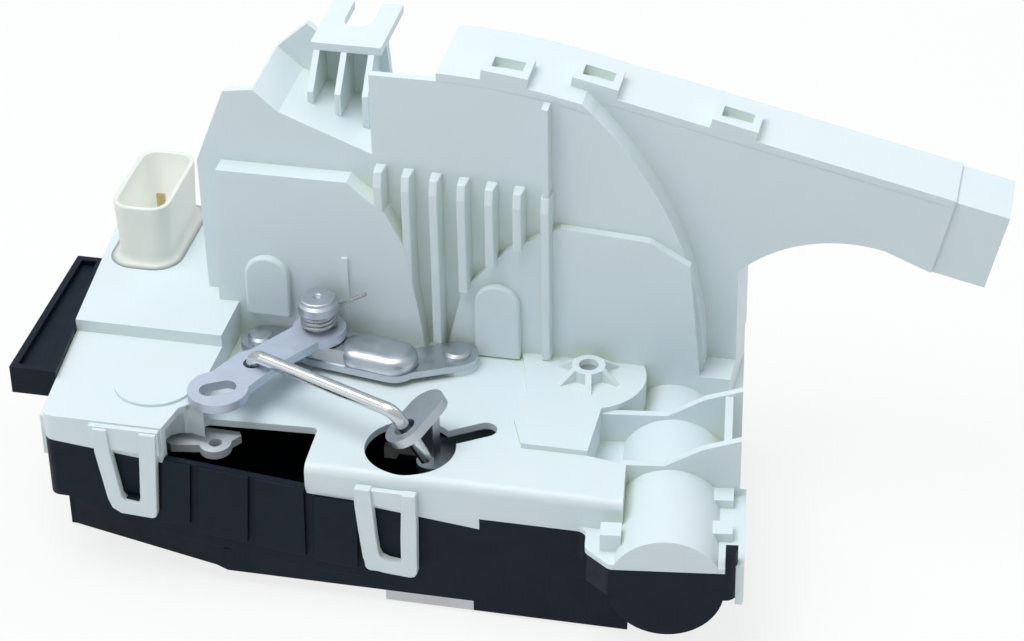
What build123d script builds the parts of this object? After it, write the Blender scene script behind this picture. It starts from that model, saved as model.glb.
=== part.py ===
from build123d import *
from math import asin, atan2, cos, degrees, hypot, pi, radians, sin, tan
import os

# Door latch actuator for a van door, in millimetres.
# The outer face of the steel face plate lies on z = 0. X runs along the base to the harness arm,
# Y runs from the open lever side to the back of the tower, and Z points into the door.

os.makedirs("parts", exist_ok=True)

# Base: outer walls and levels
FRONT = -40.0
BACK = 46.0
LEFT = -58.5
LEFT_SLANT = 9.0
WALL = 2.0
CORNER_R = 3.0
EDGE_R = 2.5
DECK = 39.5
BLOCK_RIGHT = -22.0
BLOCK_TOP = 46.0
BLOCK_STEP_Y = -2.0
BLOCK_STEP = 3.5
SIDE_STEP_Y = -22.0
SIDE_BACK_LEFT = 79.0
FLANGE_T = 1.5
SHELF_RIGHT = -38.0
SHELF_DEPTH = 13.0

# Parting line between the black case and the white cover, seen from the front
PART_LEFT_Z = 38.7
PART_MID_X = 55.0
PART_MID_Z = 26.3
PART_STEP = 3.2

# Slanted cut under the front left corner of the case
CUT_RIGHT = -12.0
CUT_BACK = -27.0
CUT_HEIGHT = 21.0
FRONT_PANELS = [(-26.0, -14.5, 15.0), (-12.5, 8.0, 10.0), (10.0, 22.0, 8.0)]

# Snap loops of the cover on the front wall: corners from the top left round to the top right
CLIP_T = 1.6
CLIP_LEG = 2.4
LEFT_LOOP = [(-44.0, 40.0), (-39.7, 20.0), (-31.2, 19.6), (-27.6, 45.5)]
RIGHT_LOOP = [(23.8, 35.5), (25.4, 10.2), (37.4, 10.2), (39.0, 35.5)]

# Latch chamber and steel face plate
PLATE_T = 3.0
PLATE_RIGHT = 60.0
PLATE_BACK = 38.0
PLATE_LIP_LEFT = 30.0
PLATE_LIP_RIGHT = 53.0
CHAMBER_H = 7.0
WEB_T = 2.4
FLOOR_T = 2.4
SLOT_WIDTH = 15.0
SLOT_DEPTH = 42.0
STRIKER_ARM = 16.0
SCREW_R = 2.5
COLLAR_R = 5.5
SCREW_SPOTS = [(-43.0, 27.0), (14.0, 26.0), (34.0, -27.0)]

# Fork bolt and pawl, with the latch open
FORK_X = -28.0
FORK_Y = -8.0
FORK_T = 3.8
FORK_RIM_R = 17.0
FORK_LEG_R = 20.0
FORK_OPEN = 155.0
FORK_SPREAD = (-58.0, 66.0)
THROAT_WIDTH = 13.0
NOTCH_DEPTH = 2.6
PIN_R = 4.0
PIN_FLANGE_R = 6.5
FIT = 0.05
GAP = 0.3
PAWL_X = -2.0
PAWL_Y = 10.0
NOSE_ANGLE = -12.0
PAWL_W = 7.0
PAWL_TURN = 12.0
NOTCH_ANGLE = 22.0
PIN_WIRE = 0.8
BUMPER_X = -20.0
BOARD_X = 8.0
BOARD_Y = 24.0
BOARD_L = 22.0
BOARD_W = 14.0
BOARD_T = 1.6
CHIP = 4.0
CHAMBER_GAP = 0.4

# Handle lever linkage: a parallelogram of lever, rod and crank
STUD_X = 2.0
STUD_Y = 7.0
STUD_R = 3.0
STUD_HEAD_R = 5.4
STUD_HEAD_T = 3.0
LINK_X = -12.5
LINK_Y = -19.5
ROD_REACH_X = 45.0
ROD_REACH_Y = -17.0
ROD_R = 1.75
ROD_HOLE_R = 2.4
EAR_HOLE_R = 2.9
LEVER_T = 2.5
LEVER_CLEAR = 0.4
LEVER_TIP_X = -18.0
LEVER_TIP_Y = -32.0
LEVER_TIP_R = 7.8
LEVER_TURN = 22.0
BRACKET_T = 2.0
BRACKET_LIFT = 1.5
EMBOSS = 3.6
LEFT_EAR = (-14.5, 8.2)
RIGHT_EAR = (38.0, 10.8)
BEND_POINT = (23.0, 3.6)
EAR_R = 5.5
SPRING_WIRE = 1.2
SPRING_TURNS = 3.0
COIL_PITCH = 1.05
RIVET_R = 1.5
RIDGE_R = 5.5
RIDGE_TAPER = 14.0
LEVER_SLOT_W = 4.2
SHEET = 2.5
CRANK_Z = 30.5
EAR_Z = 46.5
ROD_LEAN = 28.0
ROD_TILT = 0.08
ROD_TAIL = 10.0
NECK_REACH = 15.0
SHAFT_R = 4.0
SQUARE = 5.2
KEY_R = 11.6
BOSS_R = 10.8
KEY_SLOT = (51.5, -16.0)
KEY_SLOT_W = 6.0
PAD_R = 3.0

# Inner lever in the open corner
INNER_X = -40.0
INNER_Y = -18.0
INNER_Z = 32.5
TAB_X = -16.5
TAB_Y = -28.5
TAB_R = 6.0
TAB_HOLE_R = 2.3
OPEN_LEFT = -27.0
OPEN_RIGHT = 10.3
OPEN_BACK = -23.5

# Lock drive: motor, worm, worm wheel, rack
MODULE = 1.0
TOOTH_ROOT = 1.2
TOOTH_TIP = 0.9
WHEEL_SHARE = 0.75
PINION_SHARE = 0.82
WHEEL_TEETH = 36
WHEEL_X = 73.0
WHEEL_Y = 10.5
WHEEL_T = 5.4
WORM_R = 4.7
MOTOR_SKEW = 7.6
WORM_TURNS = 5
MOTOR_Z = 24.2
MOTOR_R = 12.0
MOTOR_GAP = 0.35
MOTOR_LEN = 30.0
MOTOR_SHAFT_R = 1.0
PINION_TEETH = 12
PINION_T = 4.4
RACK_LEN = 24.0
RACK_END = 6.0
SLIDER_LEN = 52.0
SLIDER_W = 7.0
DRUM_R = 15.0
DRUM_RAISE = 1.5
DOME_DROP = 2.5
WHEEL_PIN_R = 2.5
BEARING_R = 2.5
BEARING_T = 3.0
BAND_LEFT = 58.0
SPOKE = 1.6
GUIDE_LEN = 18.0
STAR_R = 4.4
STAR_REACH = 9.0
STAR_H = 3.4
STAR_TURN = -80.0

# Motor nose on the right, measured from the motor's skewed axis
NOSE_LEFT = 20.2
NOSE_CUT = 6.3
NOSE_RIGHT = 17.4
NOSE_FRONT = -55.2
DECK_SIDE = 11.2
RIB_FRONT_Y = -25.8
RIB_BACK_Y = -4.4
RIB_RISE = 8.5
RIB_BEND = 1.7
RIB_BELLY = 1.2
WEB_SIDE = 13.0
UNDER_Z = 21.2
BARREL_FOOT = 4.5
POST_TOP = 35.4
POST_LEN = 4.0
LUG_H = 5.0
LUG_LEN = 5.2
LUG_STEP = 13.5
SKIRT_FRONT = -48.0
SKIRT_BACK = -17.0

# Tower with the sloping arm
TOWER_FRONT = 20.0
TOWER_TOP = 121.0
ROOF_R = 150.0
BOX_LEFT = 32.3
SHOULDER_Z = 95.6
SHOULDER_X = 14.8
TOWER_EDGE = [(-32.5, 88.6), (-24.1, 110.0), (-16.1, 111.2), (-9.5, 105.4)]
TOWER_LEFT = -32.0
TOWER_FLANGE = 7.5
SKIN = 2.2
ARM_FRONT = 27.0
LID_DEPTH = 8.0
ARM_SLOPE = 13.1
ARM_END_X = 176.6
ARM_END_Z = 91.1
ARM_H = 22.3
SLEEVE_LEN = 14.0
SLEEVE_INSET = 0.7
TOWER_RIGHT = 109.0
TOWER_ARC = (85.6, 96.5)
ARC_TOP_X = 62.5
FLANK_LEFT = 62.0
ARCH_START_Z = 67.0
ARCH_MIDDLE = (127.0, 77.4)
ARCH_END = (146.0, 77.6)
PANEL_LEFT_Y = 14.5
PANEL_RIGHT_Y = 17.5
FIN_Y = 16.0
FIN_T = 1.6
FIN_TOP = 93.0
FIN_FIRST = 17.2
FIN_STEP = 7.27
FIN_COUNT = 7
FIN_FALL = 0.5
UPRIGHT_X = 6.9
UPRIGHT_TOP = 67.0
LEFT_PAD = (-13.4, 65.1)
RIGHT_PAD = (47.6, 61.7)
RIDGE_PAD_R = 5.9
BLADE_T = 0.8
REST_RISE = 20.9
REST_LEFT = -5.4
REST_RIGHT = 13.4
REST_BACK = 62.0
REST_T = 2.2
REST_GUSSET = 8.0
REST_SLOT_W = 7.6
LOOP_W = 12.0
LOOP_DEPTH = 11.0
LOOP_LEG = 2.0
LOOP_H = 2.6
ROOF_LOOPS = [(49.5, 20.0), (71.0, 27.0), (106.5, 27.0)]
LEAD_STEP = 6.0
LEAD_TURN_Z = 84.0
LEAD_SPREAD = 4.0
LEAD_R = 1.2

# Oval socket and edge seal
SOCKET_X = -53.0
SOCKET_Y = 42.0
SOCKET_W = 15.0
SOCKET_LEN = 30.0
SOCKET_TOP = 65.3
SOCKET_WALL = 1.6
SEAL_LEFT = -72.5
SEAL_H = 8.0
SEAL_FRONT = -24.0
SEAL_BACK = 30.0
SEAL_TOP = 48.0
SEAL_T = 1.8
SEAL_GROOVE = 1.6

# Values that follow from the ones above
LEFT_BACK = LEFT - LEFT_SLANT
SHELF_BACK = BACK + SHELF_DEPTH
CUT_FRONT = FRONT + 2 * WALL
WEB_Z = PLATE_T + CHAMBER_H
WEB_TOP = WEB_Z + WEB_T
STEP_Z = PART_MID_Z + PART_STEP
SIDE_DECK = STEP_Z + FLANGE_T
WHEEL_Z = MOTOR_Z - WHEEL_T / 2
PINION_Z = WHEEL_Z - PINION_T
WHEEL_R = WHEEL_TEETH * MODULE / 2
PINION_R = PINION_TEETH * MODULE / 2
CENTRES = WHEEL_R + WORM_R
MOTOR_X = WHEEL_X + CENTRES
SKEW = radians(MOTOR_SKEW)
DOME_R = MOTOR_R + MOTOR_GAP + WALL
MOTOR_FRONT = NOSE_FRONT + WALL + MOTOR_GAP
MOTOR_BACK = MOTOR_FRONT + MOTOR_LEN
NOSE_X0 = MOTOR_X - NOSE_LEFT
NOSE_X1 = MOTOR_X + NOSE_RIGHT
DECK_X = MOTOR_X - DECK_SIDE
DRUM_TOP = DECK + DRUM_RAISE
BEARING_Y = WHEEL_Y + WORM_TURNS * pi * MODULE / 2 + 8
SLIDER_Z = PINION_Z + GAP
SLIDER_TOP = WHEEL_Z - GAP
SLIDER_Y = WHEEL_Y - PINION_R - TOOTH_ROOT - SLIDER_W / 2
SLIDER_X = WHEEL_X - SLIDER_LEN
STEP_TOP = BLOCK_TOP + BLOCK_STEP
LEFT_PANEL = [(-27.5, STEP_TOP), (BLOCK_RIGHT, STEP_TOP), (BLOCK_RIGHT, DECK), (28.5, DECK),
              (27.3, 49.8), (24.0, 71.1), (19.1, 81.2), (9.1, 89.7), (-25.8, 89.6)]
RIGHT_PANEL = [(33.5, DECK), (100.9, DECK), (97.9, 72.8), (87.5, 79.0), (64.2, 80.5),
               (49.8, 71.8), (38.1, 58.6)]
FORK_AT = (FORK_X, FORK_Y)
PAWL_AT = (PAWL_X, PAWL_Y)
STUD_AT = (STUD_X, STUD_Y)
PIN_NECK_R = PIN_R - 1
STUD_NECK_R = STUD_R - 0.5
PIN_TOP = WEB_TOP + 4
CHAMBER_BACK = PLATE_BACK - 2 * WALL
LEVER_LAYER = PLATE_T + CHAMBER_GAP
LEVER_LAYER_TOP = LEVER_LAYER + FORK_T
LID_Y = BACK - LID_DEPTH
REST_Z = SHOULDER_Z + REST_RISE
SLOT_Y = FORK_Y + STRIKER_ARM
ROD_A = (STUD_X + LINK_X, STUD_Y + LINK_Y)
ROD_B = (ROD_A[0] + ROD_REACH_X, ROD_A[1] + ROD_REACH_Y)
CRANK_AT = (ROD_B[0] - LINK_X, ROD_B[1] - LINK_Y)
PAWL_RUN = hypot(CRANK_AT[0] - PAWL_X, CRANK_AT[1] - PAWL_Y)
TAIL_ANGLE = degrees(atan2(CRANK_AT[1] - PAWL_Y, CRANK_AT[0] - PAWL_X))
TAIL_LEN = PAWL_RUN / (1 + PAWL_TURN / LEVER_TURN)
LINK_LEN = hypot(LINK_X, LINK_Y)
LINK_ANGLE = degrees(atan2(LINK_Y, LINK_X))
BRACKET_Z = DECK + BRACKET_LIFT
BRACKET_TOP = BRACKET_Z + BRACKET_T
LEVER_Z = BRACKET_TOP + EMBOSS + LEVER_CLEAR
LEVER_TOP = LEVER_Z + LEVER_T
ROD_Z = LEVER_TOP + ROD_R + 1.0
HEAD_Z = LEVER_TOP + 2 * GAP + SPRING_WIRE * (COIL_PITCH * SPRING_TURNS + 1)
KEY_AT = (ROD_B[0], ROD_B[1] + 2.5)
BASE = (Align.CENTER, Align.CENTER, Align.MIN)
FAR = 300.0
DRIVE = Pos(WHEEL_X, WHEEL_Y, 0) * Rot(0, 0, MOTOR_SKEW) * Pos(-WHEEL_X, -WHEEL_Y, 0)


def block(x0, x1, y0, y1, z0, z1):
    """Box between two corners."""
    return Pos((x0 + x1) / 2, (y0 + y1) / 2, z0) * Box(x1 - x0, y1 - y0, z1 - z0, align=BASE)


def disc(x, y, z0, z1, r):
    """Upright cylinder."""
    return Pos(x, y, z0) * Cylinder(r, z1 - z0, align=BASE)


def rod_y(x, z, y0, y1, r):
    """Cylinder along Y."""
    return Pos(x, y0, z) * Rot(-90, 0, 0) * Cylinder(r, y1 - y0, align=BASE)


def plate(face, z0, z1):
    """Flat outline in X and Y, made solid between two heights."""
    return Pos(0, 0, z0) * extrude(face, z1 - z0, dir=(0, 0, 1))


def slab(face, y0, y1):
    """Flat outline in X and Z, made solid between two depths."""
    return Pos(0, y0, 0) * extrude(Plane.XZ * face, y1 - y0, dir=(0, 1, 0))


def bar(p, q, r):
    """Flat bar with round ends between two points."""
    length = hypot(q[0] - p[0], q[1] - p[1])
    turn = degrees(atan2(q[1] - p[1], q[0] - p[0]))
    middle = Pos((p[0] + q[0]) / 2, (p[1] + q[1]) / 2)
    return middle * Rot(0, 0, turn) * SlotCenterToCenter(length, 2 * r)


def polar(centre, radius, angle):
    """Point at a radius and an angle in degrees from a centre."""
    return (centre[0] + radius * cos(radians(angle)), centre[1] + radius * sin(radians(angle)))


def tooth_half(height, share):
    """Half thickness of a straight tooth at a height over the pitch line."""
    return pi * MODULE / 4 * share - height * tan(radians(20))


def toothed_wheel(teeth, share):
    """Gear outline with straight flanks; a gap faces +X."""
    pitch_r = teeth * MODULE / 2
    points = []
    for i in range(teeth):
        middle = (i + 0.5) * 360 / teeth
        for height, side in ((-TOOTH_ROOT, -1), (TOOTH_TIP, -1), (TOOTH_TIP, 1), (-TOOTH_ROOT, 1)):
            radius = pitch_r + height
            turn = degrees(tooth_half(height, share) / radius)
            points.append(polar((0, 0), radius, middle + side * turn))
    return Polygon(*points)


def coil(radius, wire, turns, z0):
    """Close wound helical coil about Z."""
    path = Pos(0, 0, z0 + wire / 2) * Helix(wire * COIL_PITCH, wire * COIL_PITCH * turns, radius)
    profile = Plane(path @ 0, z_dir=path % 0) * Circle(wire / 2)
    return sweep(profile, path, is_frenet=True)


def motor_rod(y0, y1, r):
    """Cylinder on the skewed axis of the motor."""
    return DRIVE * rod_y(MOTOR_X, MOTOR_Z, y0, y1, r)


def skewed(x, y):
    """Point in the part's frame from its place along and across the motor's axis."""
    run = x - WHEEL_X
    rise = y - WHEEL_Y
    return (WHEEL_X + run * cos(SKEW) - rise * sin(SKEW), WHEEL_Y + run * sin(SKEW) + rise * cos(SKEW))


def skewed_at(x, y):
    """Point where a line beside the motor's axis crosses a depth of the part."""
    return (WHEEL_X + (x - WHEEL_X) / cos(SKEW) - (y - WHEEL_Y) * tan(SKEW), y)


# Base outline shared by case and cover, and the part of it that carries the deck
PLAN_CORNERS = [(LEFT, FRONT), skewed_at(NOSE_X0, FRONT), skewed(NOSE_X0, NOSE_FRONT + NOSE_CUT),
                skewed(NOSE_X0 + NOSE_CUT, NOSE_FRONT), skewed(NOSE_X1, NOSE_FRONT),
                skewed_at(NOSE_X1, BACK), (SHELF_RIGHT, BACK), (SHELF_RIGHT, SHELF_BACK),
                (LEFT_BACK, SHELF_BACK)]
PLAN = fillet(Polygon(*PLAN_CORNERS).vertices(), CORNER_R)
INNER_PLAN = offset(PLAN, -WALL)
DECK_PLAN = Polygon((-FAR, FRONT), skewed_at(DECK_X, FRONT), skewed(DECK_X, RIB_FRONT_Y),
                    (SIDE_BACK_LEFT, SIDE_STEP_Y), (SIDE_BACK_LEFT, PANEL_RIGHT_Y),
                    (TOWER_RIGHT, PANEL_RIGHT_Y), (TOWER_RIGHT, FAR), (-FAR, FAR))


def under_cut(margin):
    """Free space below the flange around the motor's barrel, grown by a margin."""
    top = UNDER_Z + margin
    beside = block(MOTOR_X - margin, FAR, -FAR, FAR, -1, top)
    before = block(MOTOR_X - DOME_R + BARREL_FOOT - margin, FAR, -FAR, RIB_FRONT_Y + margin, -1, top)
    nose = block(-FAR, FAR, -FAR, FRONT + margin, -1, top)
    return DRIVE * (beside + before) + nose - motor_rod(-FAR, FAR, DOME_R - margin)


def corner_post():
    """Post of the case that stands up through the front right corner of the cover."""
    corner = block(MOTOR_X + DOME_R, FAR, -FAR, NOSE_FRONT + POST_LEN, 0, FAR)
    return plate(PLAN, STEP_Z, POST_TOP) & (DRIVE * corner)


def cross_rib(left, front):
    """Upright wall across the motor's dome, rising to the right."""
    bend = MOTOR_X - RIB_BEND
    middle = ((bend + NOSE_X1) / 2, DECK + RIB_RISE / 2 + RIB_BELLY)
    face = Polygon((left, STEP_Z), (NOSE_X1, STEP_Z), (NOSE_X1, DECK + RIB_RISE), middle, (bend, DECK),
                   (left, DECK))
    return DRIVE * slab(face, front, front + WALL)


def nose_lugs():
    """Snap lugs on the flange on both sides of the dome."""
    top = SIDE_DECK + LUG_H
    front = NOSE_FRONT + LUG_LEN
    lugs = DRIVE * block(DECK_X - LUG_LEN, DECK_X - FIT, front, front + LUG_LEN, STEP_Z, top)
    for i in range(2):
        y = RIB_FRONT_Y - LUG_STEP * i
        lugs += DRIVE * block(MOTOR_X, NOSE_X1 - FLANGE_T, y - LUG_LEN, y, STEP_Z, top - LUG_H / 2)
    return lugs


def base_envelope():
    """Outer form of case and cover together."""
    deck = plate(PLAN & DECK_PLAN, 0, DECK)
    # Rounded front edge of the deck
    edge = block(BLOCK_RIGHT, FAR, FRONT - 1, FRONT + EDGE_R, DECK - EDGE_R, DECK + 1)
    along = Pos(BLOCK_RIGHT, FRONT + EDGE_R, DECK - EDGE_R) * Rot(0, 90, 0)
    edge -= along * Cylinder(EDGE_R, FAR, align=BASE)
    form = deck - edge + plate(PLAN, 0, SIDE_DECK)
    form += plate(PLAN, 0, BLOCK_TOP) & block(-FAR, BLOCK_RIGHT, -FAR, FAR, 0, FAR)
    form += plate(PLAN, 0, STEP_TOP) & block(-FAR, BLOCK_RIGHT, BLOCK_STEP_Y, FAR, 0, FAR)
    # Motor dome with the lower dome over the worm behind it
    dome = motor_rod(NOSE_FRONT, RIB_BACK_Y, DOME_R) + motor_rod(RIB_BACK_Y, FAR, DOME_R - DOME_DROP)
    form += dome & block(-FAR, FAR, -FAR, PANEL_RIGHT_Y, 0, FAR)
    # Two walls across the dome, tied by a web at the right
    form += cross_rib(DECK_X - WALL, RIB_FRONT_Y) + cross_rib(SIDE_BACK_LEFT - WALL, RIB_BACK_Y)
    web = MOTOR_X + WEB_SIDE
    web_top = DECK + 0.8 * RIB_RISE
    form += DRIVE * block(web, web + WALL, RIB_FRONT_Y, RIB_BACK_Y + WALL, STEP_Z, web_top)
    form += nose_lugs() + corner_post()
    # Raised drum over the worm wheel and the band beside it
    drum = disc(WHEEL_X, WHEEL_Y, 0, DRUM_TOP, DRUM_R)
    form += drum & block(-FAR, FAR, -FAR, PANEL_RIGHT_Y, 0, FAR)
    band = Polygon((BAND_LEFT - 4, PANEL_RIGHT_Y), (BAND_LEFT + 1, 0), (BAND_LEFT, SIDE_STEP_Y + 10),
                   (BAND_LEFT + 4, SIDE_STEP_Y), (SIDE_BACK_LEFT, SIDE_STEP_Y),
                   (SIDE_BACK_LEFT, PANEL_RIGHT_Y))
    form += plate(band, 0, DRUM_TOP)
    return form - under_cut(0)


def corner_plan(margin):
    """Plan of the cut under the front left corner, grown by a margin."""
    back = CUT_BACK + WALL + margin
    return Polygon((-FAR, -FAR), (CUT_RIGHT + margin, -FAR), (CUT_RIGHT + margin, CUT_FRONT + margin),
                   (LEFT, back), (-FAR, back))


def base_hollow():
    """Room inside case and cover, above the web and the floor."""
    room = plate(INNER_PLAN, FLOOR_T, STEP_Z) & block(PLATE_RIGHT + WALL, FAR, -FAR, FAR, 0, FAR)
    room += plate(INNER_PLAN, WEB_TOP, STEP_Z)
    room += plate(INNER_PLAN & offset(DECK_PLAN, -WALL), WEB_TOP, DECK - WALL)
    left = block(-FAR, BLOCK_RIGHT - WALL, -FAR, FAR, 0, FAR)
    room += plate(INNER_PLAN, WEB_TOP, BLOCK_TOP - WALL) & left
    drum_room = disc(WHEEL_X, WHEEL_Y, WEB_TOP, DRUM_TOP - WALL, DRUM_R - WALL)
    room += drum_room & block(-FAR, FAR, -FAR, PANEL_RIGHT_Y - WALL, 0, FAR)
    room -= under_cut(WALL)
    room += motor_rod(MOTOR_FRONT - MOTOR_GAP, MOTOR_BACK + MOTOR_GAP, MOTOR_R + MOTOR_GAP)
    room += motor_rod(MOTOR_BACK, BEARING_Y + BEARING_T, DOME_R - DOME_DROP - WALL)
    return room - plate(corner_plan(WALL), 0, CUT_HEIGHT + 2 * WALL)


def above_parting():
    """Everything on the cover's side of the parting line."""
    rise = (PART_LEFT_Z - PART_MID_Z) / (PART_MID_X - LEFT)
    start = LEFT_BACK - CORNER_R
    line = Polygon((start, PART_LEFT_Z + rise * (LEFT - start)), (PART_MID_X, PART_MID_Z),
                   (PART_MID_X, STEP_Z), (FAR, STEP_Z), (FAR, FAR), (start, FAR))
    return slab(line, -FAR, FAR) - corner_post()


def snap_loop(corners):
    """Loop on the cover that hangs over the front wall of the case."""
    outer = fillet(Polygon(*corners).vertices(), CLIP_T)
    return slab(outer - offset(outer, -CLIP_LEG), FRONT - CLIP_T, FRONT)


def end_leg(x0, x1, y0, y1, z0, z1):
    """Slim leg along the outside of an end wall."""
    return plate(offset(PLAN, CLIP_T) - PLAN, z0, z1) & block(x0, x1, y0, y1, 0, FAR)


def make_latch_cover(envelope, hollow, upper):
    cover = (envelope & upper) - hollow
    opening = Polygon((OPEN_LEFT, FRONT - WALL), (OPEN_RIGHT, FRONT - WALL), (OPEN_RIGHT - 0.8, OPEN_BACK),
                      (OPEN_LEFT + 8, OPEN_BACK - 1.5), (OPEN_LEFT + 2, OPEN_BACK - 7))
    cover -= plate(fillet(opening.vertices(), 1.5), WEB_TOP, FAR)
    keyhole = Pos(*KEY_AT) * Circle(KEY_R) + bar(KEY_AT, KEY_SLOT, KEY_SLOT_W / 2)
    cover -= plate(keyhole, DECK - 2 * WALL, DECK + WALL)
    # Star boss that holds the worm wheel's pin
    cover += disc(WHEEL_X, WHEEL_Y, WHEEL_Z + WHEEL_T + 2 * GAP, DRUM_TOP + STAR_H, STAR_R)
    gusset = Polygon((0, DRUM_TOP - WALL), (STAR_REACH, DRUM_TOP - WALL), (STAR_REACH, DRUM_TOP),
                     (STAR_R, DRUM_TOP + STAR_H), (0, DRUM_TOP + STAR_H))
    star = [Rot(0, 0, STAR_TURN + 60 * i) * slab(gusset, -SPOKE / 2, SPOKE / 2) for i in range(6)]
    for spoke in star:
        cover += (Pos(WHEEL_X, WHEEL_Y, 0) * spoke) & block(-FAR, FAR, -FAR, PANEL_RIGHT_Y, 0, FAR)
    cover -= disc(WHEEL_X, WHEEL_Y, WHEEL_Z, FAR, WHEEL_PIN_R + FIT)
    # Pads under the bracket ears
    for ear in (LEFT_EAR, RIGHT_EAR):
        cover += disc(*ear, DECK - WALL, BRACKET_Z, EAR_R)
        cover -= disc(*ear, DECK - 2 * WALL, FAR, RIVET_R)
    cover += disc(FORK_X - 6, FORK_Y - 13, BLOCK_TOP - WALL, BLOCK_TOP + 0.8, BOSS_R)
    cover += snap_loop(LEFT_LOOP) + snap_loop(RIGHT_LOOP)
    leg_front = FRONT + 2 * WALL
    leg_back = leg_front + 3 * CLIP_LEG
    cover += end_leg(-FAR, 0, leg_front, leg_back, PART_LEFT_Z - 4 * WALL, PART_LEFT_Z + 2 * WALL)
    return cover + end_leg(MOTOR_X, FAR, SKIRT_FRONT, SKIRT_BACK, UNDER_Z - WALL, SIDE_DECK)


def plate_outline():
    """Face plate: slanted front left corner, and a lip that shows at the front."""
    left = LEFT + 2 * WALL
    front = CUT_FRONT + WALL
    return Polygon((left, CUT_BACK + 1.5 * WALL), (CUT_RIGHT + WALL, front), (PLATE_LIP_LEFT, front),
                   (PLATE_LIP_LEFT, FRONT), (PLATE_LIP_RIGHT, FRONT), (PLATE_LIP_RIGHT, front),
                   (PLATE_RIGHT, front), (PLATE_RIGHT, PLATE_BACK), (left, PLATE_BACK))


def striker_slot():
    """Plan of the striker's way in."""
    left = LEFT_BACK - WALL
    mouth = LEFT + 3 * WALL
    flare = Polygon((left, SLOT_Y - SLOT_WIDTH), (mouth, SLOT_Y - SLOT_WIDTH / 2),
                    (mouth, SLOT_Y + SLOT_WIDTH / 2), (left, SLOT_Y + SLOT_WIDTH))
    return bar((left, SLOT_Y), (LEFT + SLOT_DEPTH - SLOT_WIDTH / 2, SLOT_Y), SLOT_WIDTH / 2) + flare


def make_face_plate():
    body = plate(plate_outline() - striker_slot(), 0, PLATE_T)
    for spot in SCREW_SPOTS:
        body += disc(*spot, PLATE_T, WEB_Z - CHAMBER_GAP, COLLAR_R)
        body -= disc(*spot, -1, WEB_Z, SCREW_R)
    for spot in (FORK_AT, PAWL_AT):
        body -= disc(*spot, -1, WEB_Z, PIN_NECK_R)
    return body


def chamber_plan():
    """Room for fork, pawl and release arm, seen from below."""
    left = LEFT + 4 * WALL
    right = PLATE_RIGHT - 2 * WALL
    front = CUT_FRONT + WALL
    return Polygon((left, CUT_BACK + 1.5 * WALL), (CUT_RIGHT + WALL, front), (right, front),
                   (right, CHAMBER_BACK), (left, CHAMBER_BACK))


def make_latch_case(envelope, hollow, upper):
    case = envelope - upper - hollow
    case -= plate(plate_outline(), -1, PLATE_T)
    case -= plate(chamber_plan(), PLATE_T - 1, WEB_Z)
    case -= plate(striker_slot(), -1, WEB_Z)
    # Slanted cut under the front left corner
    wedge = Polygon((-FAR, -1), (CUT_RIGHT, -1), (CUT_RIGHT, PLATE_T), (LEFT + 3 * WALL, CUT_HEIGHT),
                    (-FAR, CUT_HEIGHT + 1.5 * WALL))
    case -= slab(wedge, FRONT - 1, BACK) & plate(corner_plan(0), -1, FAR)
    case -= block(CUT_RIGHT - 1, PLATE_LIP_LEFT, FRONT - 1, CUT_FRONT, -1, PLATE_T)
    # Shallow panels between upright ribs on the front wall
    for left, right, low in FRONT_PANELS:
        case -= block(left, right, FRONT - 1, FRONT + WALL / 3, low, PART_MID_Z - 1.5)
    # Snap noses that catch in the loops of the cover
    for loop in (LEFT_LOOP, RIGHT_LOOP):
        x = (loop[1][0] + loop[2][0]) / 2
        z = loop[1][1] + CLIP_LEG + FIT
        case += block(x - CLIP_T, x + CLIP_T, FRONT - CLIP_T, FRONT + 0.5 * WALL, z, z + CLIP_T)
    # Bosses for the pins and the crank shaft
    for spot in (FORK_AT, PAWL_AT):
        case += disc(*spot, WEB_TOP, PIN_TOP, PIN_NECK_R + 2.5)
        case -= disc(*spot, WEB_Z - 1, FAR, PIN_NECK_R)
    case += disc(*CRANK_AT, WEB_TOP, PIN_TOP, SHAFT_R + 2.5)
    case -= disc(*CRANK_AT, WEB_Z - 1, FAR, SHAFT_R + FIT)
    case += disc(INNER_X, INNER_Y, WEB_TOP, INNER_Z - GAP, PIN_NECK_R + 2.5)
    case -= disc(INNER_X, INNER_Y, PIN_TOP, FAR, PIN_NECK_R)
    # Foot of the worm wheel, cradles of the motor and the bearing block of its shaft
    case += disc(WHEEL_X, WHEEL_Y, FLOOR_T, PINION_Z - CHAMBER_GAP, PINION_R)
    case -= disc(WHEEL_X, WHEEL_Y, FLOOR_T, FAR, WHEEL_PIN_R + FIT)
    for y in (MOTOR_FRONT + 3 * WALL, MOTOR_BACK - 4 * WALL):
        cradle = motor_rod(y, y + WALL, DOME_R - WALL / 2) - motor_rod(y - 1, y + WALL + 1, MOTOR_R + FIT)
        case += cradle & block(-FAR, FAR, -FAR, FAR, 0, MOTOR_Z - MOTOR_R / 2)
    end = BEARING_Y + BEARING_T
    bearing = block(MOTOR_X - 2 * BEARING_R, MOTOR_X + 2 * BEARING_R, BEARING_Y, end, FLOOR_T, MOTOR_Z)
    case += (DRIVE * bearing) & motor_rod(BEARING_Y, end, DOME_R - WALL / 2)
    case -= motor_rod(BEARING_Y - 1, end + 1, BEARING_R + FIT)
    # Guide channel of the lock slider
    side = SLIDER_W / 2 + GAP
    x0 = SLIDER_X + 2 * WALL
    guide = side + WALL
    case += block(x0, x0 + GUIDE_LEN, SLIDER_Y - guide, SLIDER_Y + guide, WEB_TOP, SLIDER_Z + WALL)
    case -= block(x0 - 1, x0 + GUIDE_LEN + 1, SLIDER_Y - side, SLIDER_Y + side, SLIDER_Z - GAP, FAR)
    return case


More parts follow.
